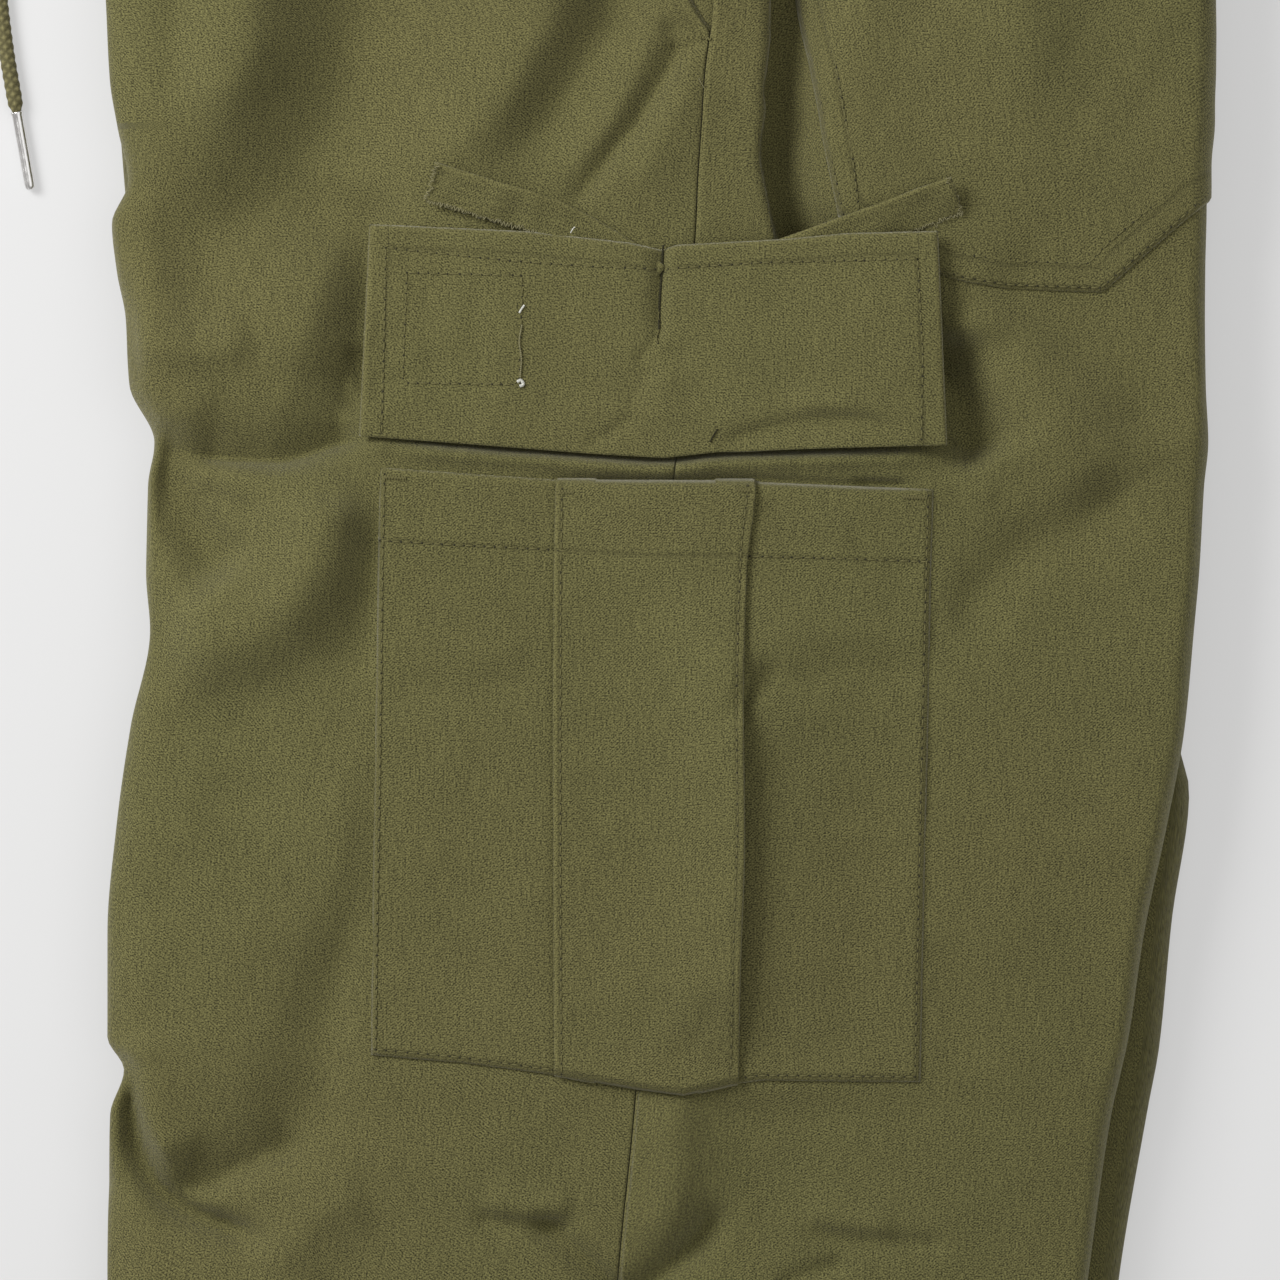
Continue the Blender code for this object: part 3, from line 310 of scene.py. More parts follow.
# The cloth is gathered just below the flap's seam
GATHER_HEIGHT = 0.3
GATHER_LENGTH = 11.0
GATHER_STRETCH = 0.4
GATHER_BELOW_SEAM = 4
GATHER_WIDTH = 4.5
GATHER_HALF = 110
FLAP_FOLDS = (
    (-3.6, 3.4, 1.5, 1.3, ((1.3, 262), (0.6, 246), (0, 238), (0, 226))),
    (-1.4, 2.6, 2.0, 1.5, ((0.6, 230), (-3, 225), (-8, 218))),
    (-0.8, 3, 3, 1.6, ((4, 226), (12, 214), (20, 200))),
    (-2.4, 5.0, 3.0, 1.7, ((16, 190), (28, 194.6), (42, 198.4), (56, 200.0), (72, 199.4),
     (86, 195))),
    (1.6, 3.4, 4.4, 1.7, ((40, 205), (54, 205), (68, 203), (80, 198), (90, 191))),
    (-1.0, 2.4, 2.4, 1.6, ((-26, 191), (-16, 196), (-8, 202))),
    (-0.5, 3.4, 4.6, 1.8, ((-76.5, 250), (-77.5, 230), (-76, 206))),
    (-0.5, 3.4, 4.6, 1.8, ((-61, 250), (-62, 230), (-60, 206))),
    (-0.5, 2.4, 3.0, 1.7, ((-98, 214), (-90, 213), (-82, 215))),
    (-0.5, 2.4, 3.0, 1.7, ((-98, 226), (-91, 225), (-84, 226.5))),
    (-0.9, 4, 4, 1.6, ((0, 226), (-5, 214), (-12, 203))),
    (-0.9, 4, 4, 1.6, ((0, 226), (6, 214), (12, 202))),
    (0.9, 8, 8, 1.8, ((0, 216), (1, 206), (0, 198))),
    (-0.8, 12, 14, 1.9, ((-28, 250), (-34, 224), (-30, 200))),
    (-0.9, 14, 12, 1.9, ((36, 252), (44, 226), (38, 200))),
    (0.7, 14, 14, 1.9, ((70, 250), (66, 224), (72, 202))),
    (-0.7, 6, 6, 1.7, ((-90, 236), (-93, 218), (-90, 204))),
)
FRONT_TAB = ((-2, 246), (-14, 255), (-34, 266), (-56, 273), (-76.6, 279.2))
BACK_TAB = ((4, 240), (30, 250), (56, 259), (78, 267), (99.0, 274.8))
TAB_WIDTH = 13.0
TAB_Z = 32.8
TAB_TILT = 5.0  # how far its upper edge stands over its lower one, clear of the flap
TAB_CLEAR = (0.3, 0.62)  # shares of its length between which it comes out from the flap
TAB_WAVE = 15.0
TAB_WAVE_UNDER = 0.15
TAB_WAVE_CLEAR = 0.4
TAB_EDGE_ROLL = 0.5
TAB_RAG = 0.5
TAB_RAG_LENGTH = 2.6

# Back pocket, on the panel: left edge (y, x), then the lower edge with its cut-off corners
BACK_POCKET_TOP_Y = 432.0
BACK_POCKET_EDGE = ((268, 59.8), (287, 56.0), (319, 50.3), (340, 46.0), (380, 41.5), (432, 38.5))
BACK_POCKET_BOTTOM = (
    (59.8, 268.0), (94.7, 248.0), (101.7, 246.0), (115.7, 243.7), (147.7, 242.7), (183.4, 274.0),
)
# x, and the share of a height over the lower edge that is square to it
BACK_POCKET_SLANT = ((60, 0.868), (92, 0.868), (97, 1.0), (146, 1.0), (149, 0.754), (184, 0.754))
BACK_POCKET_CORNER_Y = 256.0
BACK_POCKET_LAST_W = 1.5  # it ends halfway round the leg's edge
BACK_POCKET_ROWS = (1.3, 8.0)  # its two rows of stitches, from its edge
PATCH_LAYER = 1.6

# Pieces pressed under the lower leg: lowest and highest y, half width, the step beside it, and
# the distance of its middle from the leg's axis
PRESSED = {
    "pocket": (-25, 175, 88.5, 7.5, 0), "flap": (118, 188, 96.0, 7.0, 0),
    "seat": (268, 432, 52.0, 6.0, 106.0),
}
PRESSED_STEP = 3
BACK_CORNER = 26  # the back pocket's corners are cut off by this much
PRESSED_THICKNESS = 0.0009
PRESSED_Z = 0.05

# Hip pocket: its slanted opening and the cloth behind it
OPENING_LOW_Y = 330.0
OPENING_WIDTH = 58.0
OPENING_CURVE = 0.75
FACING_DEPTH = 2.1
FACING_UNDER = 12.0  # how far it runs on under the front panel
FACING_PAST_SEAM = 1.6

# Drawcord
CORD_RADIUS = 2.6
CORD_LOWEST = 2.75
CORD_POINTS = 26
BRAID_STRANDS = 4  # in each of its two directions
BRAID_PITCH = 6.4
BRAID_STEP = 0.42
TIP_SQUEEZE = 0.42  # the tip squeezes the cord's end by this share, over this length
TIP_SQUEEZE_LENGTH = 2.2
TIP_RADIUS = 1.9
TIP_GAP = 0.3  # from the cord's end to the tip's own start
TIP_LIFT = 0.25  # how far a cord tip lies above the table
LEFT_CORD = (
    (-146, 475.5, 27.5), (-152, 477, 33.5), (-164, 475, 33.0), (-178, 467, 25.0),
    (-190, 455, 12.0), (-202, 437, 3.2), (-213, 413, 2.75), (-220, 384, 2.75),
    (-222.5, 356, 2.75), (-220, 328, 2.75), (-216, 304, 2.75),
)
RIGHT_CORD = (
    (-173, 474, 6.0), (-180, 472, 3.4), (-196, 466, 2.75), (-216, 454, 2.75), (-233, 434, 2.75),
    (-243, 408, 2.75), (-247, 380, 2.75), (-247, 352, 2.75), (-243, 325, 2.75), (-239, 302, 2.75),
)

# ---------------------------------------------------------------- settings


class TrousersSettings(bpy.types.PropertyGroup):
    """Sizes and colours of the trousers that a user would change."""

    cloth_thickness: bpy.props.FloatProperty(
        name="Cloth thickness", description="Thickness of one layer of twill",
        default=0.0008, min=0.0003, max=0.0015, unit="LENGTH",
    )
    twill_pitch: bpy.props.FloatProperty(
        name="Twill pitch", description="Distance between the diagonal lines of the twill",
        default=0.0008, min=0.0003, max=0.003, unit="LENGTH",
    )
    stitch_pitch: bpy.props.FloatProperty(
        name="Stitch pitch", description="Length of one stitch with its gap",
        default=0.0035, min=0.002, max=0.006, unit="LENGTH",
    )
    cloth_colour: bpy.props.FloatVectorProperty(
        name="Cloth colour", description="Colour of the twill",
        subtype="COLOR", size=3, default=(0.121, 0.111, 0.0415), min=0, max=1,
    )
    cord_colour: bpy.props.FloatVectorProperty(
        name="Cord colour", description="Colour of the braided cord",
        subtype="COLOR", size=3, default=(0.15, 0.135, 0.06), min=0, max=1,
    )
    metal_colour: bpy.props.FloatVectorProperty(
        name="Metal colour", description="Colour of the cord tips and eyelets",
        subtype="COLOR", size=3, default=(0.80, 0.79, 0.78), min=0, max=1,
    )
    table_colour: bpy.props.FloatVectorProperty(
        name="Table colour", description="Colour of the pale surface underneath",
        subtype="COLOR", size=3, default=(0.34, 0.34, 0.34), min=0, max=1,
    )
    light_power: bpy.props.FloatProperty(
        name="Light power", description="Power of the large soft light at the upper left",
        default=25.0, min=1.0, max=500.0, unit="POWER",
    )


def settings():
    """The sizes and colours that a user can change."""
    return bpy.context.scene.cargo_trousers


# ---------------------------------------------------------------- curves and fields


def smooth_through(table, column):
    """A function of y through a table's column: a monotone cubic, so it never overshoots."""
    rows = np.array(sorted(table), float)
    y, v = rows[:, 0], rows[:, column]
    step = np.diff(y)
    slope = np.diff(v) / step
    tangent = np.zeros(len(y))
    same_way = slope[:-1] * slope[1:] > 0
    harmonic = 2 * slope[:-1] * slope[1:] / np.where(same_way, slope[:-1] + slope[1:], 1.0)
    tangent[1:-1] = np.where(same_way, harmonic, 0.0)
    tangent[0], tangent[-1] = slope[0], slope[-1]

    def value(at):
        """Cubic Hermite curve between the two rows beside each place."""
        at = np.clip(at, y[0], y[-1])
        k = np.clip(np.searchsorted(y, at) - 1, 0, len(step) - 1)
        t = (at - y[k]) / step[k]
        start = (1 + 2 * t) * (1 - t) ** 2 * v[k] + t * (1 - t) ** 2 * step[k] * tangent[k]
        end = t * t * (3 - 2 * t) * v[k + 1] + t * t * (t - 1) * step[k] * tangent[k + 1]
        return start + end

    return value


def smoothstep(low, high, value):
    """0 up to low and 1 from high on, with 3 t^2 - 2 t^3 of the way between them."""
    t = np.clip((value - low) / (high - low), 0.0, 1.0)
    return t * t * (3 - 2 * t)


def along_line(line, at):
    """y of a polyline, given as (x, y) points, at each x."""
    x, y = np.transpose(line)
    return np.interp(at, x, y)


def smooth_line(route, count, lowest=None):
    """Points at equal steps on a Catmull-Rom curve through a route's own points."""
    p = np.array(route, float)
    p = np.vstack([2 * p[0] - p[1], p, 2 * p[-1] - p[-2]])
    t = np.linspace(0, 1, 24, endpoint=False)[:, None]
    fine = []
    for before, here, there, after in zip(p, p[1:], p[2:], p[3:]):
        bend = 2 * before - 5 * here + 4 * there - after
        turn = 3 * here - before - 3 * there + after
        fine.append((2 * here + (there - before) * t + bend * t**2 + turn * t**3) / 2)
    fine = np.vstack([*fine, p[-2]])
    if lowest is not None:
        fine[:, 2] = np.maximum(fine[:, 2], lowest)
    along = np.concatenate([[0], np.cumsum(np.linalg.norm(np.diff(fine, axis=0), axis=1))])
    at = np.linspace(0, along[-1], count)
    return np.stack([np.interp(at, along, column) for column in fine.T], axis=1)


def folds_at(x, y, folds):
    """Sum of folds: each is height * exp(-(distance / reach) ** sharpness), faded at its ends."""
    x, y = np.broadcast_arrays(x, y)
    total = np.zeros(x.shape)
    for height, first_reach, second_reach, sharpness, line in folds:
        route = smooth_line(line, 6 * len(line))
        margin = 3.2 * max(first_reach, second_reach)
        low, high = route.min(axis=0) - margin, route.max(axis=0) + margin
        near = (x > low[0]) & (x < high[0]) & (y > low[1]) & (y < high[1])
        if not near.any():
            continue
        start, step = route[:-1], np.diff(route, axis=0)
        away_x = x[near][:, None] - start[:, 0]
        away_y = y[near][:, None] - start[:, 1]
        share = (away_x * step[:, 0] + away_y * step[:, 1]) / (step**2).sum(axis=1)
        share = np.clip(share, 0.0, 1.0)
        distance = np.hypot(away_x - share * step[:, 0], away_y - share * step[:, 1])
        nearest = distance.argmin(axis=1)
        row = np.arange(len(nearest))
        cross = step[nearest, 0] * away_y[row, nearest] - step[nearest, 1] * away_x[row, nearest]
        reach = np.where(cross > 0, second_reach, first_reach)
        along = (nearest + share[row, nearest]) / len(step)
        fade = smoothstep(-0.02, 0.2, along) * (1 - smoothstep(0.8, 1.02, along))
        total[near] += height * fade * np.exp(-((distance[row, nearest] / reach) ** sharpness))
    return total


def ripple(x, y, seed, length):
    """A soft unevenness: the sum of seeded waves of about one length, about 1 high."""
    count = 20
    draw = np.random.default_rng(seed)
    angle = draw.uniform(0, 2 * math.pi, count)
    phase = draw.uniform(0, 2 * math.pi, count)
    wave = 2 * math.pi / (length * draw.uniform(0.65, 1.7, count))
    total = 0.0
    for k in range(count):
        along = x * math.cos(angle[k]) + y * math.sin(angle[k])
        total = total + np.cos(along * wave[k] + phase[k])
    return total / math.sqrt(count)


def unevenness(x, y, ripples):
    """Sum of ripples, each given by its height, seed and length."""
    return sum(height * ripple(x, y, seed, length) for height, seed, length in ripples)


front_edge_left = smooth_through(LEFT_OUTLINE, 1)
back_edge_left = smooth_through(LEFT_OUTLINE, 2)
side_seam = smooth_through(LEFT_OUTLINE, 3)
crown = smooth_through(LEFT_OUTLINE, 4)
front_edge_right = smooth_through(RIGHT_OUTLINE, 1)
back_edge_right = smooth_through(RIGHT_OUTLINE, 2)
pocket_line = [smooth_through(POCKET_LINES, k) for k in (1, 2, 3, 4)]
back_pocket_edge = smooth_through(BACK_POCKET_EDGE, 1)


def leg_axis(y):
    """x of the line that the cargo pocket is centred on, which leans with the leg."""
    return AXIS_TOP_X - AXIS_LEAN * (AXIS_TOP_Y - y)


def flat_share(x, y):
    """1 where the cargo pocket and its flap hold the cloth flat, 0 away from them."""
    inside, outside = FLAT_SIDES
    low, full, above = FLAT_FADES
    from_axis = np.abs(x - leg_axis(y))
    across = 1 - smoothstep(POCKET_HALF + inside, POCKET_HALF + outside, from_axis)
    up = smoothstep(POCKET_FLAT_BOTTOM_Y + low, POCKET_FLAT_BOTTOM_Y + full, y)
    down = 1 - smoothstep(POCKET_FLAT_TOP_Y, POCKET_FLAT_TOP_Y + above, y)
    return across * up * down


def seam_gather(x, y):
    """Small puckers of the cloth just below the flap's seam: a ripple in a bell-shaped band."""
    below = y - along_line(FLAP_SEAM, x) + GATHER_BELOW_SEAM
    puckers = GATHER_HEIGHT * ripple(x, GATHER_STRETCH * y, 13, GATHER_LENGTH)
    return puckers * np.exp(-((below / GATHER_WIDTH) ** 2)) * (np.abs(x) < GATHER_HALF)


def left_top(x, y):
    """Height of the upper leg's outside: a low crown, its folds, and flat under the pocket."""
    middle = (front_edge_left(y) + back_edge_left(y)) / 2
    half = (back_edge_left(y) - front_edge_left(y)) / 2
    lowering = CROWN_FALL * np.minimum(1.0, np.abs(x - middle) / half) ** 4
    inside = smoothstep(0.0, EDGE_FADE, half - np.abs(x - middle))
    folds = FOLD_DEPTH * folds_at(x, y, FOLDS) + unevenness(x, y, LEG_UNEVEN)
    folds = folds * (1 - flat_share(x, y)) + folds_at(x, y, HELD_FOLDS) + seam_gather(x, y)
    return crown(y) - lowering + folds * inside


def pressed_share(x, y, piece):
    """1 over a piece that is pressed under the lower leg, 0 away from it."""
    low, high, half, step, from_axis = PRESSED[piece]
    along = smoothstep(low - PRESSED_STEP, low + PRESSED_STEP, y)
    along = along * (1 - smoothstep(high - PRESSED_STEP, high + PRESSED_STEP, y))
    return along * (1 - smoothstep(half, half + step, np.abs(x - leg_axis(y) - from_axis)))


def right_bottom(x, y):
    """Height of the lower leg's outside: on the table, or over the pockets pressed under it."""
    over_both = np.maximum(pressed_share(x, y, "flap"), pressed_share(x, y, "seat"))
    return LAYER * (pressed_share(x, y, "pocket") + over_both)


def opening_x(y):
    """The hip pocket's slanted opening; the panel reaches the side seam below its end."""
    up = np.clip((y - OPENING_LOW_Y) / (PANEL_TOP_Y - OPENING_LOW_Y), 0.0, 1.0)
    return side_seam(y) - OPENING_WIDTH * up**OPENING_CURVE


class Leg:
    """A tube of cloth that lies flat; w runs 0 at the side seam, 1 at the shoulder, 2 inside."""

    def __init__(self, edges, outer_z, inner_z, shoulders, folds=(), brim=()):
        self.edges = dict(zip(("front", "back"), edges))
        self.outer_z = outer_z
        self.inner_z = inner_z
        self.shoulders = shoulders
        self.folds = folds
        self.brim = brim

    def start_x(self, half, y):
        """x of a panel's first edge: the pocket's opening or the side seam."""
        return opening_x(y) if half == "front" else side_seam(y)

    def point(self, half, w, y):
        """x, y, z at w: over to the shoulder, then half a turn out, down and in under the edge.

        The turn is a quarter ellipse out to the edge, down to EDGE_SHARE of the leg's height, and
        a second one that comes in by TUCK to the wall between the legs.
        """
        sign = -1.0 if half == "front" else 1.0
        edge = self.edges[half](y)
        shoulder = self.shoulders[half]
        shoulder_x = edge - sign * shoulder
        start = self.start_x(half, y)
        flat = np.clip(w, 0.0, 1.0)
        angle = np.clip(w - 1.0, 0.0, 1.0) * math.pi
        x = start + flat * (shoulder_x - start)
        top = self.outer_z(x, y)
        middle = self.inner_z + EDGE_SHARE * (top - self.inner_z)
        upper = angle <= math.pi / 2
        out = shoulder_x + sign * shoulder * np.sin(angle)
        high = middle + (self.outer_z(out, y) - middle) * np.cos(angle)
        low = middle + (middle - self.inner_z) * np.cos(angle)
        under = edge - sign * TUCK * (1 - np.sin(angle))
        x = np.where(w <= 1, x + self.overhang(x, y), np.where(upper, out, under))
        z = np.where(w <= 1, top, np.where(upper, high, low))
        return np.stack(np.broadcast_arrays(x, y, z), axis=-1)

    def overhang(self, x, y):
        """How far the strip behind the side seam hangs over the gully beside it."""
        if not self.brim:
            return 0.0
        brim = along_line(self.brim, y)
        low, full, ending, high = BRIM_FADES
        fade = smoothstep(low, full, y) * (1 - smoothstep(ending, high, y))
        return BRIM_HANG * fade * np.exp(-(((x - brim - BRIM_INSET) / BRIM_WIDTH) ** 2))

    def height(self, x, y):
        """z of the outside over (x, y): its top, and past the shoulder the same quarter ellipse."""
        middle_x = (self.edges["front"](y) + self.edges["back"](y)) / 2
        back = x > middle_x
        edge = np.where(back, self.edges["back"](y), self.edges["front"](y))
        shoulder = np.where(back, self.shoulders["back"], self.shoulders["front"])
        shoulder_x = edge - np.where(back, 1, -1) * shoulder
        beyond = np.clip(np.abs(x - middle_x) - np.abs(shoulder_x - middle_x), 0, shoulder)
        at = np.where(beyond > 0, shoulder_x, x)
        middle = self.inner_z + EDGE_SHARE * (self.outer_z(at, y) - self.inner_z)
        return middle + (self.outer_z(x, y) - middle) * np.sqrt(1 - (beyond / shoulder) ** 2)

    def inner_grid(self, half, rows, steps):
        """The wall between the legs below the crotch curve: columns by rows by x, y, z."""
        sign = -1.0 if half == "front" else 1.0
        top = FRONT_RISE_Y if half == "front" else BACK_RISE_Y
        step, y = np.array(steps)[:, None], rows[None, :]
        rise = CROTCH_Y + (top - CROTCH_Y) * (1 - step) ** RISE_POWER
        y = rise + (y - top) * (HEM_Y - rise) / (HEM_Y - top)
        edges = [self.edges[side] for side in ("front", "back")]
        ends = [(edges[0](at) + edges[1](at)) / 2 for at in (HEM_Y, CROTCH_Y)]
        start = self.edges[half](y) - sign * TUCK
        end = np.interp(y, (HEM_Y, CROTCH_Y), ends) + sign * WALL_GAP
        x = start + step * (end - start)
        away = smoothstep(0.0, WALL_FADE, step)
        z = self.inner_z + folds_at(x, y, self.folds) * away
        return np.stack(np.broadcast_arrays(x, y, z), axis=-1)


LEFT_LEG = Leg(
    (front_edge_left, back_edge_left), left_top, LEFT_INNER_Z, LEFT_SHOULDERS, brim=STRIP_BRIM,
)
RIGHT_LEG = Leg(
    (front_edge_right, back_edge_right), right_bottom, RIGHT_INNER_Z, RIGHT_SHOULDERS, LOWER_FOLDS,
)


def pleat_lift(x, y):
    """How far the box stands up at its back edge, where the pleat has opened."""
    low, full, ending, high = PLEAT_OPEN
    open_share = smoothstep(low, full, y) * (1 - smoothstep(ending, high, y))
    from_edge = np.abs(x - pocket_line[2](y))
    return PLEAT_LIFT * open_share * np.exp(-from_edge / PLEAT_LIFT_WIDTH)


def pocket_base(x, y):
    """What the cargo pocket's layers lie on: the panel, with the pocket's own folds."""
    return left_top(x, y) + folds_at(x, y, POCKET_FOLDS) + unevenness(x, y, POCKET_UNEVEN)


def pocket_height(x, y):
    """Outer face of the cargo pocket: two side columns, and the box of its pleat on them."""
    base = pocket_base(x, y)
    box = (x > pocket_line[1](y)) & (x < pocket_line[2](y))
    return base + np.where(box, BOX_LAYER + pleat_lift(x, y), LOW_LAYER)


def flap_height(x, y):
    """Face of the turned-up flap: it rises from its seam and lies level."""
    seam, edge = along_line(FLAP_SEAM, x), along_line(FLAP_EDGE, x)
    up = np.clip((y - seam) / (edge - seam), 0.0, 1.0)
    dip = FLAP_SEAM_DIP * np.exp(-up * FLAP_SEAM_CURVE)
    level = FLAP_BASE_Z + (FLAP_EDGE_RISE * smoothstep(0.0, 0.6, up) - dip)
    level = level + unevenness(x, y, FLAP_UNEVEN) + FLAP_SLANT * np.maximum(x, 0)
    return level + folds_at(x, y, FLAP_FOLDS)


def patch_height(x, y):
    """Outer face of the back pocket, on the panel and its folds."""
    return LEFT_LEG.height(x, y) + PATCH_LAYER


HOSTS = {
    "panel": LEFT_LEG.height,
    "pocket": pocket_height,
    "flap": flap_height,
    "patch": patch_height,
}

# ---------------------------------------------------------------- meshes


def waist_drop(x, y):
    """The waist is lower at the front: how far a point comes down."""
    forward = np.clip((180 - x) / 360, 0.0, 1.0)
    return FRONT_DROP * forward * smoothstep(DROP_FROM_Y, WAIST_Y - BAND_HEIGHT, y)


def in_place(points):
    """Points in metres, with the waist's slope."""
    placed = np.array(points, float)
    placed[..., 1] -= waist_drop(placed[..., 0], placed[..., 1])
    return placed * MM


def into_scene(obj):
    """Adds a piece, which already has its material slot, to the scene on the garment's one body."""
    bpy.context.scene.collection.objects.link(obj)
    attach(obj, "root")
    return obj


def mesh_object(name, points, faces, material, uv=None, fields=None):
    """An object at the origin with its place in its mesh, smooth, with a UV map and fields."""
    corners = faces.shape[-1]
    used, faces = np.unique(faces, return_inverse=True)
    faces = faces.reshape(-1, corners)
    mesh = bpy.data.meshes.new(name)
    mesh.from_pydata(np.asarray(points)[used], [], faces)
    mesh.update()
    mesh.shade_smooth()
    if uv is not None:
        layer = mesh.uv_layers.new(name="cloth")
        corner = np.empty(len(mesh.loops), np.int32)
        mesh.loops.foreach_get("vertex_index", corner)
        layer.uv.foreach_set("vector", np.asarray(uv)[used][corner].astype(np.float32).ravel())
    for field, values in (fields or {}).items():
        attribute = mesh.attributes.new(field, "FLOAT", "POINT")
        attribute.data.foreach_set("value", np.asarray(values)[used].astype(np.float32))
    mesh.materials.append(material)
    return into_scene(bpy.data.objects.new(name, mesh))


def lengths(points, axis):
    """Distance walked over a grid along one axis, in the grid's own unit."""
    step = np.linalg.norm(np.diff(points, axis=axis), axis=-1)
    start = np.zeros_like(np.take(step, [0], axis=axis))
    return np.cumsum(np.concatenate([start, step], axis=axis), axis=axis)


def averaged(values, axis, reach=14):
    """Values averaged over their neighbours along an axis, twice, with the ends repeated."""
    span = 2 * reach + 1
    ends = [(0, 0), (0, 0)]
    ends[axis] = (reach + 1, reach)
    for _ in range(2):
        total = np.cumsum(np.pad(values, ends, mode="edge"), axis=axis)
        count = total.shape[axis] - span
        first = np.take(total, np.arange(count), axis=axis)
        values = (np.take(total, np.arange(count) + span, axis=axis) - first) / span
    return values


def grid_faces(columns, rows, flip=False, around=False):
    """Quads of a grid of points, numbered column by column."""
    number = np.arange(columns * rows).reshape(columns, rows)
    if around:
        number = np.vstack([number, number[:1]])
    quads = [number[:-1, :-1], number[1:, :-1], number[1:, 1:], number[:-1, 1:]]
    return np.stack(quads[::-1] if flip else quads, axis=-1)


def cloth(name, points, flip=False, keep=None, around=False, stitch=None, cross=None, worn=None,
          thickness=None):
    """A sheet over a grid of points in millimetres: its UV map is the cloth's own length.

    stitch and cross are signed distances to rows of stitches, where the cloth's material sinks a
    groove by bump and darkens it as painted shade, and worn is how rubbed it is.
    """
    placed = in_place(points)
    columns, rows = placed.shape[:2]
    faces = grid_faces(columns, rows, flip, around)
    if keep is not None:
        faces = faces[keep]
    # A fold lengthens only the rows it lies on, and averaging keeps the weave from shearing.
    across, down = averaged(lengths(placed, 0), 1), averaged(lengths(placed, 1), 0)
    uv = np.stack([across, down], axis=-1).reshape(-1, 2)
    given = {
        "stitch_line": (stitch, FAR_FROM_STITCH), "stitch_cross": (cross, FAR_FROM_STITCH),
        "worn": (worn, 0.0),
    }
    fields = {
        field: np.broadcast_to(plain if values is None else values, (columns, rows)).ravel()
        for field, (values, plain) in given.items()
    }
    obj = mesh_object(
        name, placed.reshape(-1, 3), faces.reshape(-1, 4), bpy.data.materials["olive_twill_cloth"],
        uv, fields,
    )
    wall = obj.modifiers.new("cloth", "SOLIDIFY")
    wall.thickness = thickness or settings().cloth_thickness
    wall.offset = -1.0
    return obj


def rubbed(distance, share, width):
    """How rubbed the cloth is near an edge: share * exp(-(distance / width) ** 2)."""
    return share * np.exp(-((distance / width) ** 2))


def rounded_rim(distance, radius):
    """Share of its height that a piece has this far in from a turned edge."""
    inside = np.clip(distance / radius, 0.0, 1.0)
    return np.sqrt(1 - (1 - inside) ** 2)


def sewn(obj, node):
    """A sheet stands for its frame node, which is hidden."""
    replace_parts(obj, node)


# ---------------------------------------------------------------- materials


SHEEN_ROUGHNESS = 0.43
SHEEN_TINT = (1.0, 0.97, 0.78, 1.0)
WEAVE_HEIGHT = 0.00009  # bumps: the yarns, and the soft unevenness of seams and cloth
CLOTH_HEIGHT = 0.0007
TABLE_GLOW = 0.42


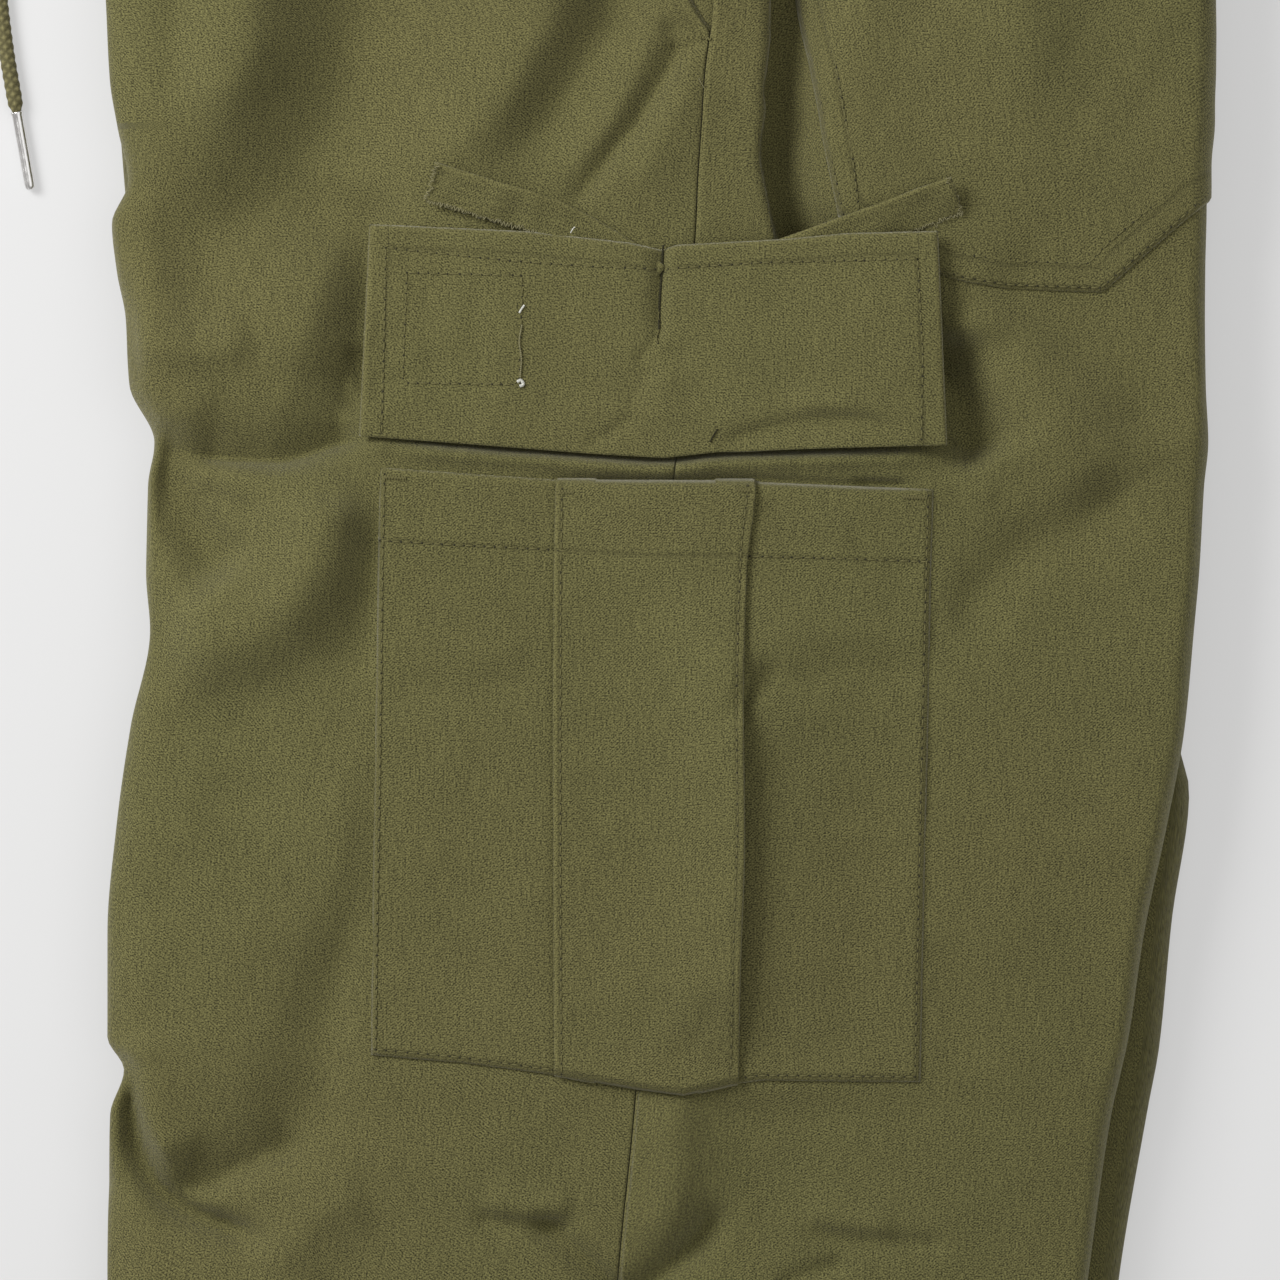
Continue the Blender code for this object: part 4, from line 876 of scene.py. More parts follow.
class Nodes:
    """Short words for the nodes of one material."""

    def __init__(self, name):
        self.material = bpy.data.materials.new(name)
        self.material.use_nodes = True
        self.tree = self.material.node_tree
        self.shader = self.tree.nodes["Principled BSDF"]

    def link(self, value, socket):
        """Wires a value to a socket, or sets the socket when it is a plain number or colour."""
        if hasattr(value, "is_linked"):
            self.tree.links.new(value, socket)
        else:
            socket.default_value = value

    def math(self, operation, *values):
        """One Math node on up to three values."""
        node = self.tree.nodes.new("ShaderNodeMath")
        node.operation = operation
        for value, socket in zip(values, node.inputs):
            self.link(value, socket)
        return node.outputs[0]

    def total(self, *values):
        """The sum of several values."""
        sum_so_far = values[0]
        for value in values[1:]:
            sum_so_far = self.math("ADD", sum_so_far, value)
        return sum_so_far

    def centred(self, value, weight):
        """weight * (value - 0.5): a pattern that goes as far up as down."""
        return self.math("MULTIPLY", self.math("SUBTRACT", value, 0.5), weight)

    def wave(self, place):
        """A sine that runs from 0 to 1."""
        return self.math("MULTIPLY_ADD", self.math("SINE", place), 0.5, 0.5)

    def bell(self, square, narrow):
        """exp(-narrow * distance ** 2), from a distance already squared."""
        return self.math("POWER", math.e, self.math("MULTIPLY", square, -narrow))

    def field(self, name):
        """One of the numbers that the mesh carries at its points."""
        node = self.tree.nodes.new("ShaderNodeAttribute")
        node.attribute_name = name
        return node.outputs["Fac"]

    def place(self, kind, size):
        """Coordinates of a kind, counted in one size in metres, or one for each direction."""
        source = self.tree.nodes.new("ShaderNodeTexCoord")
        node = self.tree.nodes.new("ShaderNodeMapping")
        node.inputs["Scale"].default_value = 1 / np.broadcast_to(size, 3)
        self.tree.links.new(source.outputs[kind], node.inputs["Vector"])
        return node.outputs["Vector"]

    def noise(self, place, detail=2.0):
        """Soft noise of about one unit's size, from 0 to 1."""
        node = self.tree.nodes.new("ShaderNodeTexNoise")
        node.inputs["Scale"].default_value = 1.0
        node.inputs["Detail"].default_value = detail
        self.tree.links.new(place, node.inputs["Vector"])
        return node.outputs["Fac"]

    def split(self, vector):
        """A vector's x, y and z."""
        node = self.tree.nodes.new("ShaderNodeSeparateXYZ")
        self.tree.links.new(vector, node.inputs[0])
        return node.outputs

    def spread(self, value, low, high, new_low=0.0, new_high=1.0):
        """A value between low and high, stretched to lie between the new limits."""
        node = self.tree.nodes.new("ShaderNodeMapRange")
        node.inputs["From Min"].default_value = low
        node.inputs["From Max"].default_value = high
        node.inputs["To Min"].default_value = new_low
        node.inputs["To Max"].default_value = new_high
        self.tree.links.new(value, node.inputs["Value"])
        return node.outputs["Result"]

    def mix(self, share, first, second, blend="MIX"):
        """Two colours mixed by a share, or the second laid over the first by a blend."""
        node = self.tree.nodes.new("ShaderNodeMix")
        node.data_type = "RGBA"
        node.blend_type = blend
        for value, key in ((share, 0), (first, 6), (second, 7)):
            self.link(value, node.inputs[key])
        return node.outputs[2]

    def bump(self, height, distance, normal=None):
        """A normal tilted by a height, which counts in units of distance metres."""
        node = self.tree.nodes.new("ShaderNodeBump")
        node.inputs["Distance"].default_value = distance
        node.inputs["Strength"].default_value = 1.0
        self.link(height, node.inputs["Height"])
        if normal is not None:
            self.link(normal, node.inputs["Normal"])
        return node.outputs["Normal"]

    def paint(self, colour, normal=None):
        """Gives the shader its colour and the normal of its relief."""
        self.link(colour, self.shader.inputs["Base Color"])
        if normal is not None:
            self.link(normal, self.shader.inputs["Normal"])

    def finish(self, roughness, sheen=0.0, metallic=0.0, specular=0.3):
        """Gives the shader its gloss, and returns the material."""
        self.link(roughness, self.shader.inputs["Roughness"])
        self.shader.inputs["Sheen Weight"].default_value = sheen
        self.shader.inputs["Sheen Roughness"].default_value = SHEEN_ROUGHNESS
        self.shader.inputs["Sheen Tint"].default_value = SHEEN_TINT
        self.shader.inputs["Metallic"].default_value = metallic
        self.shader.inputs["Specular IOR Level"].default_value = specular
        return self.material


def shade_of(colour, share):
    """A colour made darker or lighter by a share, with full opacity."""
    return (*[channel * share for channel in colour], 1.0)


def cloth_material():
    """Olive twill: fine diagonal lines of uneven yarn, mottled dye, and rubbed seams, sunk and
    darkened as painted shade.
    """
    n = Nodes("olive_twill_cloth")
    chosen = settings()
    pitch = chosen.twill_pitch
    colour = tuple(chosen.cloth_colour)
    across, along, _ = n.split(n.place("UV", pitch))
    wander = n.noise(n.place("UV", 0.03), 1.0)
    twill = n.wave(n.total(
        n.math("MULTIPLY", across, 4.4), n.math("MULTIPLY", along, 4.4),
        n.math("MULTIPLY", wander, 3.0),
    ))
    weft = n.wave(n.math("MULTIPLY", along, 8.9))
    grain = n.noise(n.place("UV", (0.00062, 0.00052, 1.0)), 1.0)
    slub = n.noise(n.place("UV", (0.0007, 0.011, 1.0)), 2.0)
    patches = n.noise(n.place("UV", 0.012), 2.0)
    # The diagonal shows clearly in some patches and is lost in others.
    clear = n.spread(patches, 0.35, 0.7, 0.1, 0.55)
    weave = n.total(
        n.centred(twill, clear), n.centred(weft, 0.3), n.centred(grain, 3.4), n.centred(slub, 0.7),
    )
    tone = n.spread(weave, -0.7, 0.7)
    surface_colour = n.mix(tone, shade_of(colour, 0.25), shade_of(colour, 1.75))
    blotch = n.noise(n.place("Object", 0.055), 3.0)
    greener = n.noise(n.place("Object", 0.16), 2.0)
    surface_colour = n.mix(n.spread(blotch, 0.3, 0.7), surface_colour, (0.93, 0.93, 0.92, 1.0), "MULTIPLY")
    surface_colour = n.mix(n.spread(greener, 0.35, 0.65), surface_colour, (0.975, 1.0, 0.985, 1.0), "MULTIPLY")
    worn = n.math("MULTIPLY", n.field("worn"), n.spread(grain, 0.35, 0.65, 0.35, 1.0))
    surface_colour = n.mix(worn, surface_colour, shade_of(colour, 1.75))
    # The groove that a row of stitches pulls, from the signed distance to it in millimetres: it sinks
    # the bump, and the colour is darkened in it as painted shade.
    squares = [n.math("POWER", n.field(name), 2.0) for name in ("stitch_line", "stitch_cross")]
    square = n.math("MINIMUM", *squares)
    groove, pulled = n.bell(square, 1.6), n.bell(square, 0.05)
    # Painted shade: the colour darkens towards 0.45 of the cloth's in each stitch groove.
    surface_colour = n.mix(n.math("MULTIPLY", groove, 0.32), surface_colour, shade_of(colour, 0.45))
    pucker = n.noise(n.place("UV", 0.0045), 1.0)
    soft = n.noise(n.place("Object", 0.016), 2.0)
    seam = n.math("MULTIPLY", pulled, n.centred(pucker, 1.0))
    seam = n.math("SUBTRACT", seam, n.math("MULTIPLY", groove, 0.6))
    large = n.total(n.math("MULTIPLY", seam, 0.55), n.math("MULTIPLY", soft, 0.8))
    n.paint(surface_colour, n.bump(weave, WEAVE_HEIGHT, n.bump(large, CLOTH_HEIGHT)))
    return n.finish(n.spread(grain, 0.3, 0.7, 0.92, 0.80), sheen=0.28, specular=0.18)


def cord_material():
    """Braid: one yarn, painted darker between the plait's raised strands and lighter on their crests,
    with a random fibre tone.
    """
    n = Nodes("olive_braided_cord")
    colour = tuple(settings().cord_colour)
    raised = n.field("strand")
    fibre = n.noise(n.place("Object", 0.0005), 3.0)
    # Painted shade and highlight: the colour follows the strand's rise, dark in the hollows and light
    # on top.
    tone = n.total(n.math("MULTIPLY", raised, 0.75), n.math("MULTIPLY", fibre, 0.5))
    n.paint(n.mix(tone, shade_of(colour, 0.35), shade_of(colour, 1.5)), n.bump(tone, 0.0003))
    return n.finish(0.85, sheen=0.1, specular=0.25)


def metal_material():
    """Plated metal with fine drawing lines and slightly dull rubbed patches."""
    n = Nodes("plated_metal")
    lines = n.noise(n.place("Object", (0.0003, 0.006, 0.0003)), 2.0)
    dull = n.noise(n.place("Object", 0.004), 3.0)
    colour = tuple(settings().metal_colour)
    n.paint(n.mix(dull, shade_of(colour, 0.82), shade_of(colour, 1.08)), n.bump(lines, 0.00003))
    return n.finish(n.spread(dull, 0.3, 0.7, 0.14, 0.3), metallic=1.0, specular=0.5)


def thread_material(name, colour, variation):
    """Twisted sewing thread, a little uneven in its dye."""
    n = Nodes(name)
    twist = n.noise(n.place("Object", 0.0004), 2.0)
    low, high = shade_of(colour, 1 - variation), shade_of(colour, 1 + variation)
    n.paint(n.mix(n.spread(twist, 0.3, 0.7), low, high), n.bump(twist, 0.0001))
    return n.finish(n.spread(twist, 0.3, 0.7, 0.8, 0.65), sheen=0.1, specular=0.25)


def table_material():
    """A smooth pale light table: it glows a little, so shadows on it stay light."""
    n = Nodes("pale_table")
    colour = tuple(settings().table_colour)
    cloud = n.noise(n.place("Object", 0.4), 2.0)
    n.paint(n.mix(cloud, shade_of(colour, 0.99), shade_of(colour, 1.01)))
    n.shader.inputs["Emission Color"].default_value = (1.0, 1.0, 1.0, 1.0)
    n.shader.inputs["Emission Strength"].default_value = TABLE_GLOW
    return n.finish(n.spread(cloud, 0.0, 1.0, 0.6, 0.7), specular=0.2)


class TROUSERS_OT_materials(bpy.types.Operator):
    """Make the finishes: twill, braid, metal, thread, and the near-black painted shade of needle-hole
    mouths and creases
    """

    bl_idname = "trousers.materials"
    bl_label = "Finishes"

    def execute(self, context):
        cloth_material()
        cord_material()
        metal_material()
        colour = tuple(settings().cloth_colour)
        thread_material("seam_thread", [channel * 1.15 for channel in colour], 0.25)
        # Painted shade: near-black beads and lines stand in for the shade in each needle hole and
        # crease.
        thread_material("needle_hole", [channel * 0.22 for channel in colour], 0.25)
        thread_material("pale_thread", (0.21, 0.195, 0.10), 0.3)
        thread_material("white_thread", (0.72, 0.72, 0.66), 0.15)
        return {"FINISHED"}


# ---------------------------------------------------------------- legs

VIEW_ROWS = np.concatenate([
    np.linspace(PANEL_TOP_Y, 348, 32, endpoint=False), np.linspace(348, 200, 70, endpoint=False),
    np.linspace(200, 172, 32, endpoint=False), np.linspace(172, -94, 124, endpoint=False),
    np.linspace(-94, HEM_Y, 66),
])
PLAIN_ROWS = np.linspace(PANEL_TOP_Y, HEM_Y, 176)
TURN_STEPS = np.linspace(1.0, 2.0, 23)[1:]
INNER_STEPS = np.linspace(0.0, 1.0, 13)[1:]
FRONT_STEPS = np.linspace(0.0, 1.0, 106)
# The back's first columns lie closer together, for the gully behind the seam.
BACK_STEPS = np.concatenate([np.linspace(0.0, 0.34, 50), np.linspace(0.34, 1.0, 57)[1:]])
PLAIN_STEPS = np.linspace(0.0, 1.0, 61)
# An edge turns in at its seam, and the front's carries on under the back's: in from the seam, down
SEAM_TURN = ((0.15, 2.6), (0.15, 1.3), (0.45, 0.5), (1.1, 0.12))
SEAM_ALLOWANCE = (-1.2, 3.0)
HEM_STITCH = 25.0


def panel(name, leg, half, rows, steps, node, seam_step):
    """A front or back panel: its turned seam edge, outside, fold and the wall between legs.

    seam_step says how deep its edge dips at the seam, as a share of SEAM_TURN.
    """
    sign = -1.0 if half == "front" else 1.0
    outer_side = 1.0 if leg is LEFT_LEG else -1.0
    y = rows[None, :]
    outside = leg.point(half, np.concatenate([steps, TURN_STEPS])[:, None], y)
    # At its seam each edge turns in, so the seam is a narrow groove.
    edge = []
    for inward, down in (SEAM_ALLOWANCE, *SEAM_TURN)[half == "back":]:
        x = leg.start_x(half, rows) + sign * inward
        z = leg.outer_z(x, rows) - outer_side * down * seam_step
        edge.append(np.stack([x, rows, z], axis=-1))
    outside = np.concatenate([np.array(edge), outside[1:]])
    inner = leg.inner_grid(half, rows, INNER_STEPS)
    points = np.concatenate([outside, inner])
    top = FRONT_RISE_Y if half == "front" else BACK_RISE_Y
    column = np.arange(len(points) - 1)[:, None]
    keep = (column < len(outside) - 1) | (rows[None, :-1] <= top)
    first = int(np.argmax(rows <= top))
    # The fold and the wall meet on the same points from the crotch curve down.
    points[len(outside):, :first] = points[len(outside) - 1, :first]
    stitch = np.minimum(np.abs(rows - (HEM_Y + HEM_STITCH)), FAR_FROM_STITCH)[None, :]
    from_seam = np.abs(points[..., 0] - leg.start_x(half, rows)[None, :])
    worn = rubbed(from_seam - 0.6, 0.28, 0.8)
    worn[len(outside):] = 0.0
    flip = (half == "front") != (leg is LEFT_LEG)
    obj = cloth(name, points, flip, keep, stitch=stitch, worn=worn)
    sewn(obj, node)


def facing(name, leg, node):
    """The cloth that shows in the hip pocket's opening, under the front panel's edge."""
    rows = np.linspace(PANEL_TOP_Y, OPENING_LOW_Y - 2, 60)
    down = -FACING_DEPTH if leg is LEFT_LEG else FACING_DEPTH
    share = np.linspace(0.0, 1.0, 20)[:, None]
    start = opening_x(rows) - FACING_UNDER
    x = start + share * (side_seam(rows) + FACING_PAST_SEAM - start)
    z = leg.outer_z(x, rows[None, :]) + down
    points = np.stack(np.broadcast_arrays(x, rows[None, :], z), axis=-1)
    obj = cloth(name, points, flip=leg is LEFT_LEG)
    sewn(obj, node)


class TROUSERS_OT_upper_leg(bpy.types.Operator):
    """Lay the upper leg: front panel, back panel and the cloth in its hip pocket"""

    bl_idname = "trousers.upper_leg"
    bl_label = "Upper leg"

    def execute(self, context):
        panel("left_front", LEFT_LEG, "front", VIEW_ROWS, FRONT_STEPS, "left_front_panel", 0.6)
        panel("left_back", LEFT_LEG, "back", VIEW_ROWS, BACK_STEPS, "left_back_panel", 0.25)
        facing("left_facing", LEFT_LEG, "left_pocket_facing")
        return {"FINISHED"}


class TROUSERS_OT_lower_leg(bpy.types.Operator):
    """Lay the lower leg: front panel, back panel, its hip pocket and its pressed pockets"""

    bl_idname = "trousers.lower_leg"
    bl_label = "Lower leg"

    def execute(self, context):
        panel("right_front", RIGHT_LEG, "front", PLAIN_ROWS, PLAIN_STEPS, "right_front_panel", 0.3)
        panel("right_back", RIGHT_LEG, "back", PLAIN_ROWS, PLAIN_STEPS, "right_back_panel", 0.3)
        facing("right_facing", RIGHT_LEG, "right_pocket_facing")
        pressed_pockets()
        return {"FINISHED"}


def pressed(name, node, columns, rows, height):
    """A layer pressed flat under the lower leg; its corners are cut where the columns shorten."""
    x, y, z = np.broadcast_arrays(columns, rows, height)
    low, high = rows.min(axis=1, keepdims=True), rows.max(axis=1, keepdims=True)
    edge = np.minimum(high - rows, rows - low) - 4.0
    obj = cloth(name, np.stack([x, y, z], axis=-1), stitch=edge, thickness=PRESSED_THICKNESS)
    sewn(obj, node)


def pressed_pockets():
    """The lower leg's cargo pocket, its closed flap and its back pocket."""
    t = np.linspace(0.0, 1.0, 60)[None, :]
    s = np.linspace(-1.0, 1.0, 50)[:, None]
    low, high, half, _, _ = PRESSED["pocket"]
    flap_low, flap_high, flap_half, _, _ = PRESSED["flap"]
    y = high - PRESSED_STEP + t * (low - high + 2 * PRESSED_STEP)
    # The flap lies under the pocket's top, which steps up over it.
    z = LAYER * smoothstep(flap_low - 5, flap_low, y) + PRESSED_Z
    x = leg_axis(y) + s * (half - 0.5)
    pressed("right_cargo_patch", "right_cargo_pocket", x, y + 0 * s, z)
    y = flap_high - PRESSED_STEP - t * (flap_high - flap_low - 7)
    x = leg_axis(y) + s * (flap_half - 1)
    pressed("right_flap", "right_cargo_flap", x, y + 0 * s, PRESSED_Z)
    low, high, half, _, middle = PRESSED["seat"]
    half = half - PRESSED_STEP
    corner = np.clip((np.abs(s) * half - (half - BACK_CORNER)) / BACK_CORNER, 0, 1) * BACK_CORNER
    y = high - PRESSED_STEP - t * (high - low - 2 * PRESSED_STEP - corner)
    pressed("right_back_patch", "right_back_pocket", middle + s * half + 0 * t, y, PRESSED_Z)


# ---------------------------------------------------------------- cargo pocket


def pocket_stations():
    """The patch's path across: two of its lines, the share between them, shift and height.

    Half of it is a side column that rises from its edge, the layer that runs in under the box,
    the turn, the layer that comes back and the turn up to the box; the other half mirrors it.
    """
    low, back, box = LOW_LAYER, BACK_LAYER, BOX_LAYER
    side = [(0, 1, s, 0.0, low * float(rounded_rim(s * 58, 1.3))) for s in np.linspace(0, 1, 48)]
    fold = [(1, 1, 0, s, low) for s in np.linspace(1.5, PLEAT_UNDER, 8)]
    fold += [(1, 1, 0, PLEAT_UNDER + 0.6, (low + back) / 2)]
    fold += [(1, 1, 0, s, back) for s in np.linspace(PLEAT_UNDER, 1.6, 8)]
    fold += [(1, 1, 0, 0.5, back + 0.05), (1, 1, 0, 0.0, back + 0.35), (1, 1, 0, -0.1, back + 0.6)]
    fold += [(1, 1, 0, 0.1, box - 0.3), (1, 1, 0, 0.6, box - 0.08)]
    half = side + fold
    other = [(3 - a, 3 - b, s, -shift, height) for a, b, s, shift, height in reversed(half)]
    middle = [(1, 2, s, 0.0, box) for s in np.linspace(0.025, 0.975, 46)]
    return half + middle + other


def cargo_patch():
    """One patch whose middle folds under a box and back; rows run from its top to its bottom."""
    first, second, share, shift, layer = (np.array(v)[:, None] for v in zip(*pocket_stations()))
    first, second = first.astype(int), second.astype(int)
    t = np.linspace(0.0, 1.0, 138)[None, :]
    # The pocket's lines lean, so x and y are worked out twice, from a first guess of y.
    y = POCKET_GUESS_Y - t * POCKET_GUESS_LENGTH
    for _ in range(2):
        lines = np.array([line(y[0]) for line in pocket_line])
        x = (1 - share) * lines[first[:, 0]] + share * lines[second[:, 0]] + shift
        top, bottom = along_line(POCKET_TOP, x), along_line(POCKET_BOTTOM, x)
        y = top + t * (bottom - top)
    ends = np.minimum(top - y, y - bottom)
    raised = np.clip((layer - LOW_LAYER) / (BOX_LAYER - LOW_LAYER), 0.0, 1.0)
    lift = pleat_lift(x, y) * raised
    across_box = np.clip((x - lines[1]) / (lines[2] - lines[1]), 0, 1)
    dome = BOX_DOME * raised * np.sin(np.pi * across_box)
    z = pocket_base(x, y) + (layer + lift + dome) * rounded_rim(ends + 0.15, 1.4)
    on_box = layer >= BOX_LAYER - 0.4
    side_edge = np.minimum(x - lines[0], lines[3] - x) - POCKET_STITCH
    pleat_edge = np.minimum(x - lines[1], lines[2] - x) - PLEAT_STITCH
    stitch = np.where(on_box, pleat_edge, np.where(raised > 0, FAR_FROM_STITCH, side_edge))
    hem = y - along_line(POCKET_HEM, x)
    foot = y - bottom - POCKET_STITCH
    cross = np.where(y > POCKET_MIDDLE_Y, hem, foot)
    rim = np.where(on_box, pleat_edge + PLEAT_STITCH, side_edge + POCKET_STITCH)
    worn = rubbed(np.minimum(rim, ends), 0.4, 1.3)
    points = np.stack(np.broadcast_arrays(x, y, z), axis=-1)
    obj = cloth(
        "left_cargo_patch", points, flip=True, stitch=stitch, cross=cross, worn=worn,
        thickness=POCKET_THICKNESS,
    )
    sewn(obj, "left_cargo_pocket")


def cargo_flap():
    """The turned-up flap: a doubled piece from its seam to its stitched free edge."""
    s = np.linspace(0.0, 1.0, 196)[:, None]
    t = np.linspace(0.0, 1.0, 74)[None, :]
    low_x = FLAP_SEAM[0][0] + s * (FLAP_SEAM[-1][0] - FLAP_SEAM[0][0])
    high_x = FLAP_EDGE[0][0] + s * (FLAP_EDGE[-1][0] - FLAP_EDGE[0][0])
    low_y, high_y = along_line(FLAP_SEAM, low_x), along_line(FLAP_EDGE, high_x)
    x, y = low_x + t * (high_x - low_x), low_y + t * (high_y - low_y)
    width, length = high_x[-1] - high_x[0], high_y - low_y
    sides = np.minimum(s, 1 - s) * width
    ends = np.minimum(sides, (1 - t) * length)
    z = flap_height(x, y) - FLAP_EDGE_ROLL * (1 - rounded_rim(ends + 0.1, 1.5))
    cross = (1 - t) * length - FLAP_STITCH_TOP + 0 * s
    cross = np.where(sides < FLAP_BORDER, FAR_FROM_STITCH, cross)
    stitch = np.where(ends < FLAP_BORDER, FAR_FROM_STITCH, sides - FLAP_STITCH_SIDE)
    worn = 0.05 + rubbed(ends, 0.45, 1.2)
    points = np.stack([x, y, z], axis=-1)
    obj = cloth(
        "left_flap", points, stitch=stitch, cross=cross, worn=worn, thickness=FLAP_THICKNESS,
    )
    sewn(obj, "left_cargo_flap")


def tab(name, line, node, seed):
    """A narrow strip under the flap; its free end and lower edge are ragged."""
    route = smooth_line(line, 62)
    step = np.gradient(route, axis=0)
    across = np.stack([-step[:, 1], step[:, 0]], axis=1)
    across /= np.linalg.norm(across, axis=1)[:, None]
    if step[0, 0] < 0:
        across = -across
    side = np.linspace(-0.5, 0.5, 13)[:, None, None]
    points = route[None] + side * TAB_WIDTH * across[None]
    ragged = TAB_RAG * ripple(points[..., 0], points[..., 1], seed, TAB_RAG_LENGTH)
    points[0, :, 1] += ragged[0]
    points[:, -1] += (step[-1] / np.linalg.norm(step[-1])) * ragged[:, -1][:, None]
    x, y = points[..., 0], points[..., 1]
    edge = (0.5 - np.abs(side[..., 0])) * TAB_WIDTH
    clear = smoothstep(*TAB_CLEAR, np.linspace(0.0, 1.0, len(route)))[None]
    z = TAB_Z + TAB_TILT * (side[..., 0] + 0.5) * clear
    z = z + (TAB_WAVE_UNDER + TAB_WAVE_CLEAR * clear) * ripple(x, y, seed + 1, TAB_WAVE)
    z = z - TAB_EDGE_ROLL * (1 - rounded_rim(edge + 0.1, 1.0))
    worn = rubbed(edge, 0.5, 1.1) + 0 * x
    points = np.stack([x, y, z], axis=-1)
    flip = step[0, 0] > 0
    obj = cloth(name, points, flip=flip, worn=worn)
    sewn(obj, node)


class TROUSERS_OT_cargo_pocket(bpy.types.Operator):
    """Sew on the cargo pocket with its box pleat, its turned-up flap and the flap's two tabs"""

    bl_idname = "trousers.cargo_pocket"
    bl_label = "Cargo pocket"

    def execute(self, context):
        cargo_patch()
        tab("flap_tab_front", FRONT_TAB, "left_flap_tab_front", 41)
        tab("flap_tab_back", BACK_TAB, "left_flap_tab_back", 43)
        cargo_flap()
        return {"FINISHED"}


class TROUSERS_OT_back_pocket(bpy.types.Operator):
    """Sew on the back pocket, which lies on the folds of the seat and runs round the edge"""

    bl_idname = "trousers.back_pocket"
    bl_label = "Back pocket"

    def execute(self, context):
        """A grid on the leg's own surface, raised along its normals by the patch's thickness."""
        t = np.linspace(0.0, 1.0, 112)[None, :]
        c = np.linspace(0.0, 1.0, 96)[:, None]

        def share(y):
            """w of each column where the patch is y high."""
            start = side_seam(y)
            shoulder_x = back_edge_left(y) - LEFT_SHOULDERS["back"]
            first = (back_pocket_edge(y) - start) / (shoulder_x - start)
            return first + c * (BACK_POCKET_LAST_W - first)

        low_y = np.array([[BACK_POCKET_CORNER_Y]])
        low_x = LEFT_LEG.point("back", share(low_y), low_y)[..., 0]
        bottom = along_line(BACK_POCKET_BOTTOM, low_x)
        y = BACK_POCKET_TOP_Y + t * (bottom - BACK_POCKET_TOP_Y)
        w = share(y)
        small = 0.01
        points = LEFT_LEG.point("back", w, y)
        across = LEFT_LEG.point("back", w + small, y) - LEFT_LEG.point("back", w - small, y)
        along = LEFT_LEG.point("back", w, y + 1.0) - LEFT_LEG.point("back", w, y - 1.0)
        normal = np.cross(across, along)
        normal /= np.linalg.norm(normal, axis=-1, keepdims=True)
        from_left = points[..., 0] - back_pocket_edge(y)
        slant = along_line(BACK_POCKET_SLANT, low_x)
        ends = np.minimum(from_left, np.minimum(BACK_POCKET_TOP_Y - y, (y - bottom) * slant))
        puff = unevenness(points[..., 0], y, PATCH_UNEVEN)
        points = points + normal * (PATCH_LAYER * rounded_rim(ends + 0.2, 1.3) + puff)[..., None]
        worn = rubbed(ends, 0.4, 1.2)
        obj = cloth(
            "left_back_patch", points, flip=True, stitch=ends - BACK_POCKET_ROWS[0],
            cross=ends - BACK_POCKET_ROWS[1], worn=worn,
        )
        sewn(obj, "left_back_pocket")
        return {"FINISHED"}


# ---------------------------------------------------------------- waistband


BAND_ALLOWANCE = 5.0  # the band's lower edge runs on under the panels by this much
BAND_UNDER = 0.8  # and lies this much lower there
BAND_BELOW_CROWN = 2.0
BAND_SIDE_POWER = 0.32  # how square the ring is, across and upwards
BAND_TOP_POWER = 0.42
BAND_ROLL = 1.6  # how far its top edge rolls in, over BAND_ROLL_WIDTH
BAND_ROLL_WIDTH = 3.0
BAND_GATHER = 0.9
BAND_GATHER_LENGTH = 6.2
BAND_GATHER_SWAY = 1.6
BAND_EDGE_GATHER = 0.35  # share of the gathers left at its edges
BAND_UPPER_DROP = 0.4
BAND_LOWER_SHARE = 0.96
BAND_LOWER_LIFT = 0.2
BAND_THICKNESS = 0.0022
BAND_STITCH = 3.0


class TROUSERS_OT_waistband(bpy.types.Operator):
    """Gather the waistband over its elastic"""

    bl_idname = "trousers.waistband"
    bl_label = "Waistband"

    def execute(self, context):
        """A flattened ring: a superellipse whose height ripples with the gathers."""
        rows = np.linspace(WAIST_Y, PANEL_TOP_Y - BAND_ALLOWANCE, 29)[None, :]
        angle = np.linspace(0.0, 2 * math.pi, 420, endpoint=False)[:, None]
        front, back = front_edge_left(rows), back_edge_left(rows)
        middle, half = (front + back) / 2, (back - front) / 2
        high = crown(rows) - BAND_BELOW_CROWN
        flat = np.sign(np.cos(angle)) * np.abs(np.cos(angle)) ** BAND_SIDE_POWER
        tall = np.sign(np.sin(angle)) * np.abs(np.sin(angle)) ** BAND_TOP_POWER
        x = middle + half * flat
        z = high / 2 + high / 2 * tall
        ring = np.stack([x[:, 0], z[:, 0]], axis=-1)
        walk = lengths(np.vstack([ring[:1], ring])[1:, None], 0)
        edge = np.minimum(WAIST_Y - rows, rows - (WAIST_Y - BAND_HEIGHT))
        sway = BAND_GATHER_SWAY * ripple(walk, rows * 0.2, 61, 40.0)
        gather = BAND_GATHER * np.sin(walk / BAND_GATHER_LENGTH + sway)
        inside = smoothstep(0, 12, edge)
        gather = gather * (BAND_EDGE_GATHER + (1 - BAND_EDGE_GATHER) * inside)
        upper = z + gather * np.abs(tall) - BAND_UPPER_DROP
        z = np.where(tall > 0, upper, z * BAND_LOWER_SHARE + BAND_LOWER_LIFT)
        roll = BAND_ROLL * (1 - rounded_rim(WAIST_Y - rows + 0.1, BAND_ROLL_WIDTH))
        under = BAND_UNDER * (rows < PANEL_TOP_Y + 0.4)
        z = np.where(tall > 0, z - roll - under, z + roll + under)
        points = np.stack(np.broadcast_arrays(x, rows, np.maximum(z, 0.1)), axis=-1)
        stitch = np.minimum(np.abs(edge - BAND_STITCH), FAR_FROM_STITCH) + 0 * angle
        obj = cloth("waist_band", points, around=True, stitch=stitch, thickness=BAND_THICKNESS)
        sewn(obj, "waistband")
        return {"FINISHED"}


# ---------------------------------------------------------------- cord and metal


